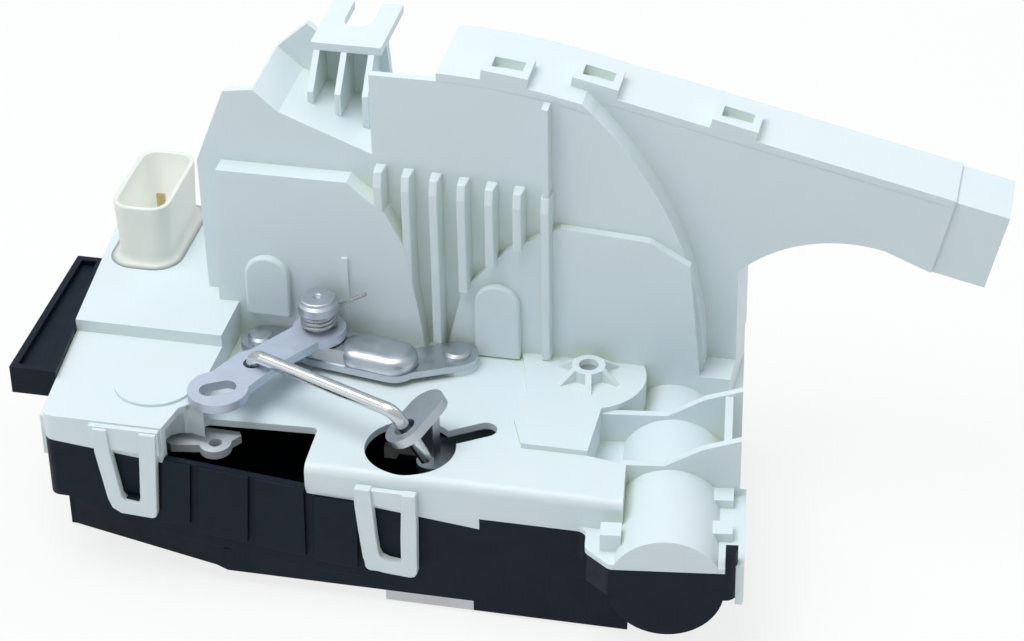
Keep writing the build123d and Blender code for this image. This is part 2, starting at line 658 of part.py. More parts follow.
def make_fork_bolt():
    legs = [polar((0, 0), 2 * FORK_LEG_R, FORK_OPEN + a) for a in (FORK_SPREAD[0], 0, FORK_SPREAD[1])]
    sector = Polygon((0, 0), *legs) & Circle(FORK_LEG_R)
    throat = Rot(0, 0, FORK_OPEN) * bar((STRIKER_ARM - 0.5, 0), (2 * FORK_LEG_R, 0), THROAT_WIDTH / 2)
    rim = FORK_RIM_R + 1
    notch = Polygon(polar((0, 0), rim, NOTCH_ANGLE), polar((0, 0), rim, NOTCH_ANGLE + 26),
                    polar((0, 0), FORK_RIM_R - NOTCH_DEPTH, NOTCH_ANGLE + 24))
    face = Circle(FORK_RIM_R) + sector - throat - notch - Circle(PIN_R + FIT)
    return plate(Pos(*FORK_AT) * face, LEVER_LAYER, LEVER_LAYER_TOP)


def make_stepped_pin(spot):
    """Rivet pin: thin in the plate and the web, thick where the lever turns."""
    return disc(*spot, 0, PIN_TOP, PIN_NECK_R - FIT) + disc(*spot, PLATE_T + FIT, WEB_Z - FIT, PIN_R)


def make_pin_spring(spot):
    """Torsion spring wound around a pin above its lever."""
    return Pos(*spot) * coil(PIN_R + 2 * PIN_WIRE, PIN_WIRE, 2, LEVER_LAYER_TOP + GAP)


def make_pawl():
    tip = polar(FORK_AT, FORK_RIM_R + GAP + PAWL_W / 2, NOSE_ANGLE)
    start = polar(PAWL_AT, PAWL_W / 2, TAIL_ANGLE + 90)
    end = polar(start, TAIL_LEN - 1, TAIL_ANGLE)
    face = bar(PAWL_AT, tip, PAWL_W / 2) + bar(start, end, PAWL_W / 2)
    face += Pos(*PAWL_AT) * Circle(PIN_R + PAWL_W / 2)
    return plate(face - Pos(*PAWL_AT) * Circle(PIN_R + FIT), LEVER_LAYER, LEVER_LAYER_TOP)


def make_release_arm():
    contact = polar(PAWL_AT, TAIL_LEN, TAIL_ANGLE)
    pad = polar(contact, PAD_R + GAP, TAIL_ANGLE - 90)
    face = bar(CRANK_AT, pad, 0.8 * PAD_R) + Pos(*pad) * Circle(PAD_R)
    face += Pos(*CRANK_AT) * Circle(SHAFT_R + 3)
    return plate(face - Pos(*CRANK_AT) * Rectangle(SQUARE, SQUARE), LEVER_LAYER, LEVER_LAYER_TOP)


def make_crank_shaft():
    square = Pos(*CRANK_AT) * Rectangle(SQUARE, SQUARE)
    return disc(*CRANK_AT, LEVER_LAYER_TOP, CRANK_Z, SHAFT_R) + plate(square, LEVER_LAYER, CRANK_Z + SHEET)


def rod_leg_direction():
    """Unit vector down the lower leg of the rod."""
    return Vector(sin(radians(ROD_LEAN)), ROD_TILT, -cos(radians(ROD_LEAN))).normalized()


def make_crank_lever():
    arm_end = polar(CRANK_AT, NECK_REACH, LINK_ANGLE)
    face = bar(CRANK_AT, arm_end, SHAFT_R) + Pos(*CRANK_AT) * Circle(SHAFT_R + 3)
    arm = plate(face - Pos(*CRANK_AT) * Rectangle(SQUARE, SQUARE), CRANK_Z, CRANK_Z + SHEET)
    down = rod_leg_direction()
    ear_plane = Plane((*ROD_B, EAR_Z), x_dir=(-LINK_X, -LINK_Y, 0), z_dir=-down)
    ear = bar((0, 0), (LINK_LEN - NECK_REACH, 0), EAR_R) - Circle(EAR_HOLE_R)
    drop = (down.X * (arm_end[0] - ROD_B[0]) + down.Y * (arm_end[1] - ROD_B[1])) / -down.Z
    neck = Pos(*arm_end) * Rot(0, 0, LINK_ANGLE) * Rectangle(SHEET, SHAFT_R)
    ear_body = ear_plane * extrude(ear, SHEET / 2, both=True)
    return arm + plate(neck, CRANK_Z, EAR_Z + drop - SHEET / 3) + ear_body


def make_handle_lever():
    tip = (STUD_X + LEVER_TIP_X, STUD_Y + LEVER_TIP_Y)
    face = bar(STUD_AT, ROD_A, 5) + bar(ROD_A, tip, 6) + Pos(*tip) * Circle(LEVER_TIP_R)
    face += Pos(*STUD_AT) * Circle(STUD_R + 4)
    slot = Pos(*tip) * Rot(0, 0, 30) * SlotCenterToCenter(LEVER_SLOT_W, 1.3 * LEVER_SLOT_W)
    face = face - slot - Pos(*ROD_A) * Circle(ROD_HOLE_R) - Pos(*STUD_AT) * Circle(STUD_R + FIT)
    return plate(face, LEVER_Z, LEVER_TOP)


def make_connecting_rod():
    down = rod_leg_direction()
    ear = Vector(*ROD_B, EAR_Z)
    bend = ear - down * ((ROD_Z - EAR_Z) / -down.Z)
    foot = Vector(*ROD_A, LEVER_Z - 1.5)
    path = FilletPolyline(foot, Vector(*ROD_A, ROD_Z), bend, ear + down * ROD_TAIL, radius=2 * ROD_R)
    return sweep(Plane(path @ 0, z_dir=path % 0) * Circle(ROD_R), path)


def make_lever_bracket():
    sheet = bar(LEFT_EAR, STUD_AT, EAR_R) + bar(BEND_POINT, RIGHT_EAR, EAR_R)
    sheet += bar(STUD_AT, BEND_POINT, RIDGE_R + 0.8)
    body = plate(sheet, BRACKET_Z, BRACKET_TOP)
    ridge = extrude(bar(STUD_AT, BEND_POINT, RIDGE_R), EMBOSS, dir=(0, 0, 1), taper=RIDGE_TAPER)
    inside = bar(STUD_AT, BEND_POINT, RIDGE_R - BRACKET_T)
    hollow = extrude(inside, EMBOSS, dir=(0, 0, 1), taper=RIDGE_TAPER)
    body += Pos(0, 0, BRACKET_TOP) * ridge
    body -= Pos(0, 0, BRACKET_Z) * hollow
    for ear in (LEFT_EAR, RIGHT_EAR):
        body -= disc(*ear, BRACKET_Z - 1, BRACKET_TOP + 1, RIVET_R)
    return body - disc(*STUD_AT, BRACKET_Z - 1, FAR, STUD_NECK_R + FIT)


def make_pivot_stud():
    head = disc(*STUD_AT, HEAD_Z, HEAD_Z + STUD_HEAD_T, STUD_HEAD_R)
    head = chamfer(head.edges().group_by(Axis.Z)[-1], STUD_HEAD_T / 4)
    bearing = disc(*STUD_AT, BRACKET_TOP + EMBOSS, HEAD_Z, STUD_R)
    return disc(*STUD_AT, DECK, HEAD_Z, STUD_NECK_R) + bearing + head


def make_lever_spring():
    radius = STUD_R + SPRING_WIRE
    turns = Pos(*STUD_AT) * coil(radius, SPRING_WIRE, SPRING_TURNS, LEVER_TOP + GAP)
    start_z = LEVER_TOP + GAP + SPRING_WIRE * (0.5 + COIL_PITCH * SPRING_TURNS)
    start = Vector(STUD_X + radius, STUD_Y - SPRING_WIRE / 2, start_z)
    corner = start + Vector(0, radius, 0)
    tip = start + Vector(7.5, radius + 1, 4)
    path = FilletPolyline(start, corner, tip, radius=SPRING_WIRE)
    leg = sweep(Plane(path @ 0, z_dir=path % 0) * Circle(SPRING_WIRE / 2 - FIT), path)
    return turns + leg


def make_bracket_rivets():
    rivets = []
    for spot in (LEFT_EAR, RIGHT_EAR):
        head = disc(*spot, BRACKET_TOP, BRACKET_TOP + RIVET_R, 2.4 * RIVET_R)
        head = chamfer(head.edges().group_by(Axis.Z)[-1], RIVET_R / 2)
        rivets.append(disc(*spot, DECK - WALL, BRACKET_TOP, RIVET_R) + head)
    return Compound(rivets)


def make_inner_lever():
    pivot = (INNER_X, INNER_Y)
    tab = (TAB_X, TAB_Y)
    face = bar(pivot, tab, 4.5) + Pos(*tab) * Circle(TAB_R) + Pos(*pivot) * Circle(PIN_R + PAWL_W / 2)
    face = face - Pos(*tab) * Circle(TAB_HOLE_R) - Pos(*pivot) * Circle(PIN_R + FIT)
    return plate(face, INNER_Z, INNER_Z + SHEET)


def make_inner_lever_pin():
    head_z = INNER_Z + SHEET + GAP
    pin = disc(INNER_X, INNER_Y, PIN_TOP, INNER_Z, PIN_NECK_R - FIT)
    pin += disc(INNER_X, INNER_Y, INNER_Z - GAP, head_z, PIN_R)
    return pin + disc(INNER_X, INNER_Y, head_z, head_z + 2, PIN_FLANGE_R)


def make_motor():
    can = motor_rod(MOTOR_FRONT, MOTOR_BACK, MOTOR_R)
    for side in (-1, 1):
        x = MOTOR_X + side * MOTOR_R
        can -= DRIVE * block(x - 1, x + 1, -FAR, FAR, 0, FAR)
    can += motor_rod(MOTOR_BACK, MOTOR_BACK + 1.5, MOTOR_R / 3)
    return can - motor_rod(MOTOR_BACK - 4, FAR, MOTOR_SHAFT_R + FIT)


def make_motor_shaft():
    return motor_rod(MOTOR_BACK - 3, BEARING_Y + BEARING_T, MOTOR_SHAFT_R)


def make_worm():
    pitch = pi * MODULE
    core_r = WORM_R - TOOTH_ROOT
    length = WORM_TURNS * pitch
    path = Helix(pitch, length, core_r)
    tip = TOOTH_ROOT + 0.7 * MODULE
    flank = Polygon((-0.4, -0.95), (tip, -0.32), (tip, 0.32), (-0.4, 0.95))
    thread = sweep(Plane(path @ 0, x_dir=(1, 0, 0), z_dir=(0, -1, 0)) * flank, path, is_frenet=True)
    core = Pos(0, 0, -2) * Cylinder(core_r, length + 4, align=BASE)
    worm = core + thread - Pos(0, 0, -3) * Cylinder(MOTOR_SHAFT_R, length + 6, align=BASE)
    # The thread faces the wheel with its middle turn at the wheel's axis
    start = (MOTOR_X, WHEEL_Y - length / 2 - pitch / 2, MOTOR_Z)
    return DRIVE * (Plane(start, x_dir=(-1, 0, 0), z_dir=(0, 1, 0)) * worm)


def make_shaft_bearing():
    end = BEARING_Y + BEARING_T
    return motor_rod(BEARING_Y, end, BEARING_R) - motor_rod(BEARING_Y - 1, end + 1, MOTOR_SHAFT_R + FIT)


def make_worm_wheel():
    wheel = Rot(0, 0, MOTOR_SKEW) * toothed_wheel(WHEEL_TEETH, WHEEL_SHARE)
    for i in range(5):
        wheel -= Rot(0, 0, 72 * i) * Pos(0.66 * WHEEL_R, 0) * Circle(0.19 * WHEEL_R)
    body = plate(wheel, 0, WHEEL_T) + plate(toothed_wheel(PINION_TEETH, PINION_SHARE), -PINION_T, 0)
    return Pos(WHEEL_X, WHEEL_Y, WHEEL_Z) * (body - plate(Circle(WHEEL_PIN_R + FIT), -FAR, FAR))


def make_wheel_pin():
    return disc(WHEEL_X, WHEEL_Y, FLOOR_T, DRUM_TOP + STAR_H / 2, WHEEL_PIN_R)


def make_lock_slider():
    pitch = pi * MODULE
    root = SLIDER_Y + SLIDER_W / 2
    end = WHEEL_X + RACK_END
    face = Polygon((SLIDER_X, root - SLIDER_W), (end, root - SLIDER_W), (end, root), (SLIDER_X, root))
    foot = tooth_half(-TOOTH_ROOT, PINION_SHARE)
    tip = tooth_half(TOOTH_TIP, PINION_SHARE)
    height = TOOTH_ROOT + TOOTH_TIP
    tooth = Polygon((-foot, 0), (foot, 0), (tip, height), (-tip, height))
    for i in range(-int(RACK_LEN / pitch), int(RACK_END / pitch) + 1):
        face += Pos(WHEEL_X + i * pitch, root) * tooth
    return plate(face, SLIDER_Z, SLIDER_TOP)


def under_roof(drop):
    """Front view of everything below the roof line, lowered by drop."""
    slope = tan(radians(ARM_SLOPE))
    peak = ARM_END_X - (TOWER_TOP - ARM_END_Z) / slope
    end_z = ARM_END_Z - (FAR - ARM_END_X) * slope - drop
    top = TOWER_TOP - drop
    face = Polygon((-FAR, 0), (FAR, 0), (FAR, end_z), (peak, top), (-FAR, top))
    return fillet(face.vertices().sort_by_distance((peak, top, 0))[0], ROOF_R)


def arm_point(back, down):
    """Point on the arm, measured back from its end and down from its top edge."""
    turn = radians(-ARM_SLOPE)
    along = ARM_END_X - back * cos(turn) + down * sin(turn)
    return (along, ARM_END_Z - back * sin(turn) - down * cos(turn))


def tower_face(drop):
    """Front view of the tower's main body."""
    arc_end = (TOWER_RIGHT - 7.5, DECK)
    arc_start = (ARC_TOP_X, TOWER_TOP + 1)
    edge = Polyline(arc_end, (BLOCK_RIGHT, DECK), (BLOCK_RIGHT, STEP_TOP), (TOWER_LEFT, STEP_TOP),
                    *TOWER_EDGE, (SHOULDER_X, SHOULDER_Z), (BOX_LEFT, SHOULDER_Z),
                    (BOX_LEFT, TOWER_TOP + 1), arc_start)
    return make_face(edge + ThreePointArc(arc_start, TOWER_ARC, arc_end)) & under_roof(drop)


def deep_face(drop):
    """Front view of the tower without the thin flange at its left."""
    low = (TOWER_EDGE[0][0] + TOWER_FLANGE, TOWER_EDGE[0][1])
    high = (TOWER_EDGE[1][0] + TOWER_FLANGE, TOWER_EDGE[1][1])
    flange = Polygon((-FAR, STEP_TOP), (TOWER_LEFT + TOWER_FLANGE, STEP_TOP), low, high, (high[0], FAR),
                     (-FAR, FAR))
    return tower_face(drop) - flange


def arm_face(drop):
    """Front view of the arm and the right flank."""
    under = (TOWER_RIGHT, ARCH_START_Z)
    edge = Polyline(ARCH_END, arm_point(SLEEVE_LEN, ARM_H), arm_point(SLEEVE_LEN, -5),
                    (FLANK_LEFT, TOWER_TOP + 5), (FLANK_LEFT, DECK), (TOWER_RIGHT, DECK), under)
    return make_face(edge + ThreePointArc(under, ARCH_MIDDLE, ARCH_END)) & under_roof(drop)


def make_actuator_housing():
    deep = deep_face(SKIN + FIT)
    arm = arm_face(SKIN + FIT)
    shell = slab(tower_face(SKIN + FIT), TOWER_FRONT, TOWER_FRONT + SKIN)
    shell += slab(deep, TOWER_FRONT, LID_Y) + slab(arm, ARM_FRONT, LID_Y)
    shell -= slab(offset(deep, -SKIN), TOWER_FRONT + SKIN, LID_Y + 1)
    shell -= slab(offset(arm, -SKIN), ARM_FRONT + SKIN, LID_Y + 1)
    # Thin plate that stands up left of the box
    fence_right = BOX_LEFT + SKIN
    fence_low = SHOULDER_Z - SKIN
    fence = Polygon((SHOULDER_X, fence_low), (fence_right, fence_low), (fence_right, TOWER_TOP),
                    (SHOULDER_X, TOWER_TOP))
    shell += slab(fence & under_roof(SKIN + FIT), TOWER_FRONT, TOWER_FRONT + SKIN)
    # Raised panels with their half round pads and the upright rib
    shell += slab(Polygon(*LEFT_PANEL), PANEL_LEFT_Y, TOWER_FRONT)
    shell += slab(Polygon(*RIGHT_PANEL), PANEL_RIGHT_Y, TOWER_FRONT)
    shell += block(UPRIGHT_X, UPRIGHT_X + FIN_T, PANEL_LEFT_Y - FIN_T / 2, PANEL_LEFT_Y, DECK, UPRIGHT_TOP)
    for spot, low, front in ((LEFT_PAD, BRACKET_TOP + 4, PANEL_LEFT_Y), (RIGHT_PAD, DECK, PANEL_RIGHT_Y)):
        x, top = spot
        pad = Pos(x, top - RIDGE_PAD_R) * Circle(RIDGE_PAD_R)
        pad += Polygon((x - RIDGE_PAD_R, low), (x + RIDGE_PAD_R, low),
                       (x + RIDGE_PAD_R, top - RIDGE_PAD_R), (x - RIDGE_PAD_R, top - RIDGE_PAD_R))
        shell += slab(pad, front - 1, front)
    # Stiffening fins down to the panels, the last one as a long rib from the roof to the deck
    for i in range(FIN_COUNT):
        x = FIN_FIRST + FIN_STEP * i - FIN_T / 2
        last = i == FIN_COUNT - 1
        top = FAR if last else FIN_TOP - FIN_FALL * i
        low = DRUM_TOP if last else DECK
        fin = Polygon((x, low), (x + FIN_T, low), (x + FIN_T, top), (x, top)) & under_roof(SKIN + FIT)
        fin = slab(fin, FIN_Y, TOWER_FRONT)
        shell += fin if last else fin - slab(Polygon(*RIGHT_PANEL), FIN_Y - 1, TOWER_FRONT)
    return shell


def roof_at(x):
    """Height of the roof line and its turn in degrees at a place along X."""
    slope = radians(ARM_SLOPE)
    start = ARM_END_X - (TOWER_TOP - ARM_END_Z) / tan(slope) - ROOF_R * tan(slope / 2)
    turn = asin(min(max(0.0, (x - start) / ROOF_R), sin(slope)))
    straight = max(0.0, x - start - ROOF_R * sin(slope))
    return TOWER_TOP - ROOF_R * (1 - cos(turn)) - straight * tan(slope), degrees(turn)


def roof_loop(x, front):
    """Snap loop that stands on the roof with a window in it."""
    z, turn = roof_at(x)
    at = Pos(0, LOOP_DEPTH / 2)
    window = Rectangle(LOOP_W - 2 * LOOP_LEG, LOOP_DEPTH - 3 * LOOP_LEG)
    frame = at * (Rectangle(LOOP_W, LOOP_DEPTH) - window)
    return Pos(x, front, z) * Rot(0, turn, 0) * plate(frame, -SKIN / 2, LOOP_H)


def make_rear_cover():
    outline = deep_face(0) + arm_face(0)
    lid = slab(outline, LID_Y, BACK) - slab(offset(outline, -SKIN), LID_Y - 1, BACK - SKIN)
    lid += slab(tower_face(0) - under_roof(SKIN), TOWER_FRONT, LID_Y)
    lid += slab(arm_face(0) - under_roof(SKIN), ARM_FRONT, LID_Y)
    # Cable rest: a forked platform on upright ribs
    rest = block(REST_LEFT, REST_RIGHT, LID_Y, REST_BACK, REST_Z - REST_T, REST_Z)
    middle = (REST_LEFT + REST_RIGHT) / 2
    slot = bar((middle, BACK + 2 + REST_SLOT_W / 2), (middle, REST_BACK + REST_SLOT_W), REST_SLOT_W / 2)
    rest -= plate(slot, REST_Z - 2 * REST_T, REST_Z + REST_T)
    low = REST_Z - REST_T
    front = LID_Y - REST_GUSSET
    side = Plane.YZ * Polygon((front, SHOULDER_Z), (BACK, SHOULDER_Z), (BACK, low), (LID_Y, low),
                              (front, low - REST_GUSSET))
    for i in range(3):
        x = REST_LEFT + FIN_T / 2 + FIN_STEP * i
        rest += Pos(x, 0, 0) * extrude(side, FIN_T, dir=(1, 0, 0))
    rest -= slab(offset(deep_face(SKIN + FIT), 2 * FIT), TOWER_FRONT, LID_Y)
    # Arched back wall that carries the rest
    arch = Polygon(TOWER_EDGE[2], (REST_LEFT - 2.5, REST_Z + 2), (REST_LEFT, REST_Z),
                   (REST_RIGHT, REST_Z - REST_T), (SHOULDER_X, SHOULDER_Z), (TOWER_EDGE[2][0], SHOULDER_Z))
    rest += slab(arch, BACK - SKIN, BACK)
    for x, front in ROOF_LOOPS:
        lid += roof_loop(x, front)
    return lid + rest


def make_harness_connector():
    top = SLEEVE_INSET
    front = ARM_FRONT + SLEEVE_INSET
    corners = [arm_point(SLEEVE_LEN, top), arm_point(SLEEVE_LEN, ARM_H), arm_point(0, ARM_H),
               arm_point(0, top)]
    root = SLEEVE_LEN - SKIN
    mouth = [arm_point(root, top + SKIN), arm_point(root, ARM_H - SKIN), arm_point(-1, ARM_H - SKIN),
             arm_point(-1, top + SKIN)]
    return slab(Polygon(*corners), front, BACK) - slab(Polygon(*mouth), front + SKIN, BACK - SKIN)


def make_harness_pins():
    pins = []
    root = (Align.MIN, Align.CENTER, Align.CENTER)
    for row in range(2):
        for column in range(4):
            x, z = arm_point(SLEEVE_LEN - SKIN, ARM_H / 2 + (row - 0.5) * 7)
            y = (ARM_FRONT + BACK) / 2 + (column - 1.5) * 3.5
            pins.append(Pos(x, y, z) * Rot(0, ARM_SLOPE, 0) * Box(8, BLADE_T, 2 * BLADE_T, align=root))
    return Compound(pins)


def make_lead_frame():
    strips = []
    for i in range(3):
        x = WHEEL_X + LEAD_STEP * i
        turn = (x, LEAD_TURN_Z + LEAD_SPREAD * i)
        end = arm_point(SLEEVE_LEN + 2 * SKIN, ARM_H / 2 + LEAD_SPREAD * (i - 1))
        strip = bar((x, DECK + 2 * SKIN), turn, LEAD_R) + bar(turn, end, LEAD_R)
        strips.append(slab(strip, BACK - SKIN - BLADE_T, BACK - SKIN))
    return Compound(strips)


def make_connector_socket():
    spread = SOCKET_LEN - SOCKET_W
    at = Pos(SOCKET_X, SOCKET_Y, STEP_TOP) * Rot(0, 0, 90)
    height = SOCKET_TOP - STEP_TOP
    body = at * extrude(SlotCenterToCenter(spread, SOCKET_W), height, taper=-1.5)
    body += at * extrude(SlotCenterToCenter(spread, SOCKET_W + 2), WALL)
    bore = extrude(SlotCenterToCenter(spread, SOCKET_W - 2 * SOCKET_WALL), height, taper=-1.5)
    return body - at * Pos(0, 0, WALL) * bore


def make_connector_pins():
    pins = []
    for side in (-1, 1):
        y = SOCKET_Y + 4 * side
        blade = Pos(SOCKET_X, y, STEP_TOP + WALL) * Box(3 * BLADE_T, BLADE_T, 11 * BLADE_T, align=BASE)
        pins.append(blade)
    return Compound(pins)


def make_edge_seal():
    slant = LEFT_SLANT / (SHELF_BACK - FRONT)
    face = Polygon((SEAL_LEFT, SEAL_FRONT), (LEFT - slant * (SEAL_FRONT - FRONT), SEAL_FRONT),
                   (LEFT - slant * (SEAL_BACK - FRONT), SEAL_BACK), (SEAL_LEFT, SEAL_BACK))
    low = SEAL_TOP - SEAL_H
    return plate(face, low, SEAL_TOP) - plate(offset(face, -SEAL_T), SEAL_TOP - SEAL_GROOVE, SEAL_TOP + 1)


def make_fork_bumper():
    return block(BUMPER_X, BUMPER_X + 12, CHAMBER_BACK - 6, CHAMBER_BACK, LEVER_LAYER, WEB_Z)


def make_sensor_board():
    top = WEB_TOP + BOARD_T
    board = block(BOARD_X, BOARD_X + BOARD_L, BOARD_Y, BOARD_Y + BOARD_W, WEB_TOP, top)
    for share in (0.25, 0.65):
        x = BOARD_X + share * BOARD_L
        board += block(x, x + CHIP, BOARD_Y + CHIP, BOARD_Y + 2 * CHIP, top, top + 2 * BOARD_T)
    return board


ENVELOPE = base_envelope()
HOLLOW = base_hollow()
UPPER = above_parting()

PIECES = {
    "latch_cover": make_latch_cover(ENVELOPE, HOLLOW, UPPER),
    "latch_case": make_latch_case(ENVELOPE, HOLLOW, UPPER),
    "face_plate": make_face_plate(),
    "actuator_housing": make_actuator_housing(),
    "rear_cover": make_rear_cover(),
    "harness_connector": make_harness_connector(),
    "harness_pins": make_harness_pins(),
    "lead_frame": make_lead_frame(),
    "connector_socket": make_connector_socket(),
    "connector_pins": make_connector_pins(),
    "edge_seal": make_edge_seal(),
    "fork_bolt": make_fork_bolt(),
    "fork_pin": make_stepped_pin(FORK_AT),
    "fork_spring": make_pin_spring(FORK_AT),
    "pawl": make_pawl(),
    "pawl_pin": make_stepped_pin(PAWL_AT),
    "pawl_spring": make_pin_spring(PAWL_AT),
    "fork_bumper": make_fork_bumper(),
    "release_arm": make_release_arm(),
    "crank_shaft": make_crank_shaft(),
    "crank_lever": make_crank_lever(),
    "handle_lever": make_handle_lever(),
    "connecting_rod": make_connecting_rod(),
    "lever_bracket": make_lever_bracket(),
    "pivot_stud": make_pivot_stud(),
    "lever_spring": make_lever_spring(),
    "bracket_rivets": make_bracket_rivets(),
    "inner_lever": make_inner_lever(),
    "inner_lever_pin": make_inner_lever_pin(),
    "motor": make_motor(),
    "motor_shaft": make_motor_shaft(),
    "worm": make_worm(),
    "shaft_bearing": make_shaft_bearing(),
    "worm_wheel": make_worm_wheel(),
    "wheel_pin": make_wheel_pin(),
    "lock_slider": make_lock_slider(),
    "sensor_board": make_sensor_board(),
}

for name, shape in PIECES.items():
    export_step(shape, "parts/" + name + ".step")
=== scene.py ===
"""Door latch actuator: looks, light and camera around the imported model, in metres."""

import math

import bmesh
import bpy
from mathutils import Matrix, Vector


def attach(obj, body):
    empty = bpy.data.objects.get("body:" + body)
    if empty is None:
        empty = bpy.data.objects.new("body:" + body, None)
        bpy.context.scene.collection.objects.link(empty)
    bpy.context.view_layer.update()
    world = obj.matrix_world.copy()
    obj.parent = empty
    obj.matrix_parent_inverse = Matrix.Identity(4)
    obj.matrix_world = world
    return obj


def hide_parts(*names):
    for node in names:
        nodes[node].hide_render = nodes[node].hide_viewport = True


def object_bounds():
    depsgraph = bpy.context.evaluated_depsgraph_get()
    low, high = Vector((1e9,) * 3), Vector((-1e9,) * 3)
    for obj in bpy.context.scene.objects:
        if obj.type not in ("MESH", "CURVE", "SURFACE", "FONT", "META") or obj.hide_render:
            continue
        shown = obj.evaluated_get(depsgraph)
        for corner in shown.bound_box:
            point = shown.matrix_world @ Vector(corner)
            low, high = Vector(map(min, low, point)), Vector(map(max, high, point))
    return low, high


# Camera: place, aim and lens that match the photograph
CAMERA_AT = (0.19577, -0.61599, 0.48735)
CAMERA_AZIMUTH = math.radians(12.85)
CAMERA_ELEVATION = math.radians(33.9)
CAMERA_ROLL = math.radians(1.06)
CAMERA_LENS = 105.47
CAMERA_SENSOR = 36.0

# Floor, lamps and sky; a lamp has a name, a place, a size and a power
FLOOR_SIZE = 6.0
FLOOR_DROP = 0.001
FLOOR_COLOUR = (0.86, 0.86, 0.86, 1)
FLOOR_ROUGH = 0.9
FLOOR_WHITE = 0.8
LAMPS = [("key", (-0.25, -0.15, 1.15), 0.8, 9.2),
         ("fill", (-0.7, -0.7, 0.5), 0.7, 0.9),
         ("rim", (0.5, 0.7, 0.8), 0.7, 2.3)]
SKY_COLOUR = (0.93, 0.98, 1.0, 1)
SKY_BOTTOM = -0.1
SKY_TOP = 0.9
SKY_LOW = 0.17
SKY_HIGH = 0.55
SKY_GLOSS = 0.5

# Edge rounding of moulded and pressed pieces, in metres
PLASTIC_EDGE = 0.0006
STEEL_EDGE = 0.0002
FIN_EDGE = 0.0004
PAD_EDGE = 0.0009
EDGE_SEGMENTS = 2
EDGE_ANGLE = math.radians(35)

# Sizes of the added pieces, in millimetres of the shared frame
MM = 0.001
WELD = 0.0001

# Fins on the tower's front; the last one is the long rib
FIN_FIRST = 17.2
FIN_STEP = 7.27
FIN_COUNT = 7
FIN_ROOT = 3.0
FIN_TIP = 2.3
FIN_FRONT = 14.6
FIN_CREST = 15.8
FIN_BACK = 20.2
FIN_TOP = 93.1
FIN_FALL = 0.5
FIN_SLOPE = 4.0
FIN_FOOT = 39.6
RIB_FOOT = 41.1
PANEL_EDGE = [(33.5, 39.6), (38.1, 58.4), (49.8, 71.6), (64.2, 80.3)]

# Half round pads on the tower's panels: middle, top, foot and front of the panel
PADS = [(-13.4, 65.3, 47.2, 14.5), (47.6, 61.9, 39.6, 17.5)]
PAD_R = 6.1
PAD_STAND = 2.2
PAD_ROOT = 0.3
PAD_STEPS = 24

# Plug shroud on the left block, with its foot, rim and mouth as steps outwards and upwards
SOCKET_AT = (-53.0, 42.0)
SOCKET_W = 14.6
SOCKET_L = 29.6
SOCKET_CORNER = 4.6
SOCKET_LOW = 49.5
SOCKET_HIGH = 67.4
SOCKET_FLOOR = 2.0
SOCKET_WALL = 1.4
SOCKET_DRAFT = 0.7
SOCKET_INNER_DRAFT = 0.2
SOCKET_FOOT = [(2.8, 0.0), (1.176, 0.5), (0.392, 1.4), (0.0, 2.6)]
SOCKET_RIM = [(-0.05, -0.5), (-0.15, -0.15), (-0.5, 0.0)]
SOCKET_MOUTH = [(0.35, 0.0), (0.0, -0.35)]
CORNER_STEPS = 6

# Wall and shelf that close the left block beside the window
BLOCK_TOP = 45.95
WALL_LOW = 37.2
WALL_T = 1.6
WALL_LEAN = 0.4
WALL_LINE = [(-27.6, -39.4), (-28.4, -33.4), (-27.6, -30.9), (-25.6, -29.4), (-22.6, -28.9),
             (-18.6, -30.0)]
SHELF_BACK = [(-18.2, -26.0), (-21.9, -21.0), (-28.0, -20.0)]

# Plane of the front wall, which carries the snap loops and the black fields
FRONT = -40.0

# Snap loops, open at the top, and the thick wall behind each of them
LEFT_CLIP = [(-44.2, 45.2), (-44.2, 38.2), (-41.9, 23.6), (-40.9, 20.8), (-38.6, 19.3), (-30.6, 18.8),
             (-29.3, 19.3), (-29.0, 20.4), (-27.4, 45.2), (-32.0, 45.2), (-32.3, 38.3), (-33.2, 23.7),
             (-33.7, 23.2), (-37.2, 23.6), (-38.1, 24.8), (-40.0, 38.3), (-40.4, 45.2)]
LEFT_CLIP_WALL = [(-45.6, 45.6), (-45.2, 38.9), (-27.05, 38.3), (-27.05, 45.6)]
RIGHT_CLIP = [(23.6, 36.2), (23.5, 31.2), (24.1, 23.8), (25.0, 14.6), (25.6, 12.6), (27.2, 11.0),
              (30.9, 10.4), (37.3, 9.9), (38.5, 10.3), (39.1, 11.6), (39.5, 25.1), (39.4, 35.9),
              (35.8, 35.9), (35.5, 30.0), (35.1, 22.0), (35.0, 14.8), (34.2, 14.1), (31.4, 14.5),
              (29.9, 15.2), (29.2, 17.0), (28.7, 22.2), (28.2, 31.0), (27.8, 36.2)]
RIGHT_CLIP_WALL = [(24.0, 35.65), (24.2, 31.6), (39.2, 29.7), (39.2, 35.65)]
CLIP_FACE = 2.5
CLIP_WALL_FACE = 1.7

# Raised fields of the black front wall, from the lower left corner round
FIELD_BASE = [(-28.6, 13.0), (-19.8, 11.4), (10.5, 7.2), (23.3, 6.6), (24.2, 30.6), (10.6, 31.2),
              (10.2, 33.2), (-26.6, 36.8)]
FIELDS = [[(-28.4, 17.0), (-20.8, 17.4), (-19.4, 35.9), (-26.6, 36.6)],
          [(-18.7, 15.0), (-5.7, 13.7), (-4.3, 34.5), (-17.4, 35.7)],
          [(-3.5, 13.4), (9.6, 11.8), (10.1, 33.1), (-2.5, 34.3)],
          [(11.9, 11.0), (23.2, 10.0), (24.0, 30.4), (12.7, 30.9)]]
FIELD_SKIN = 0.15
FIELD_FACE = 1.2
FIELD_ROOT = -1.5

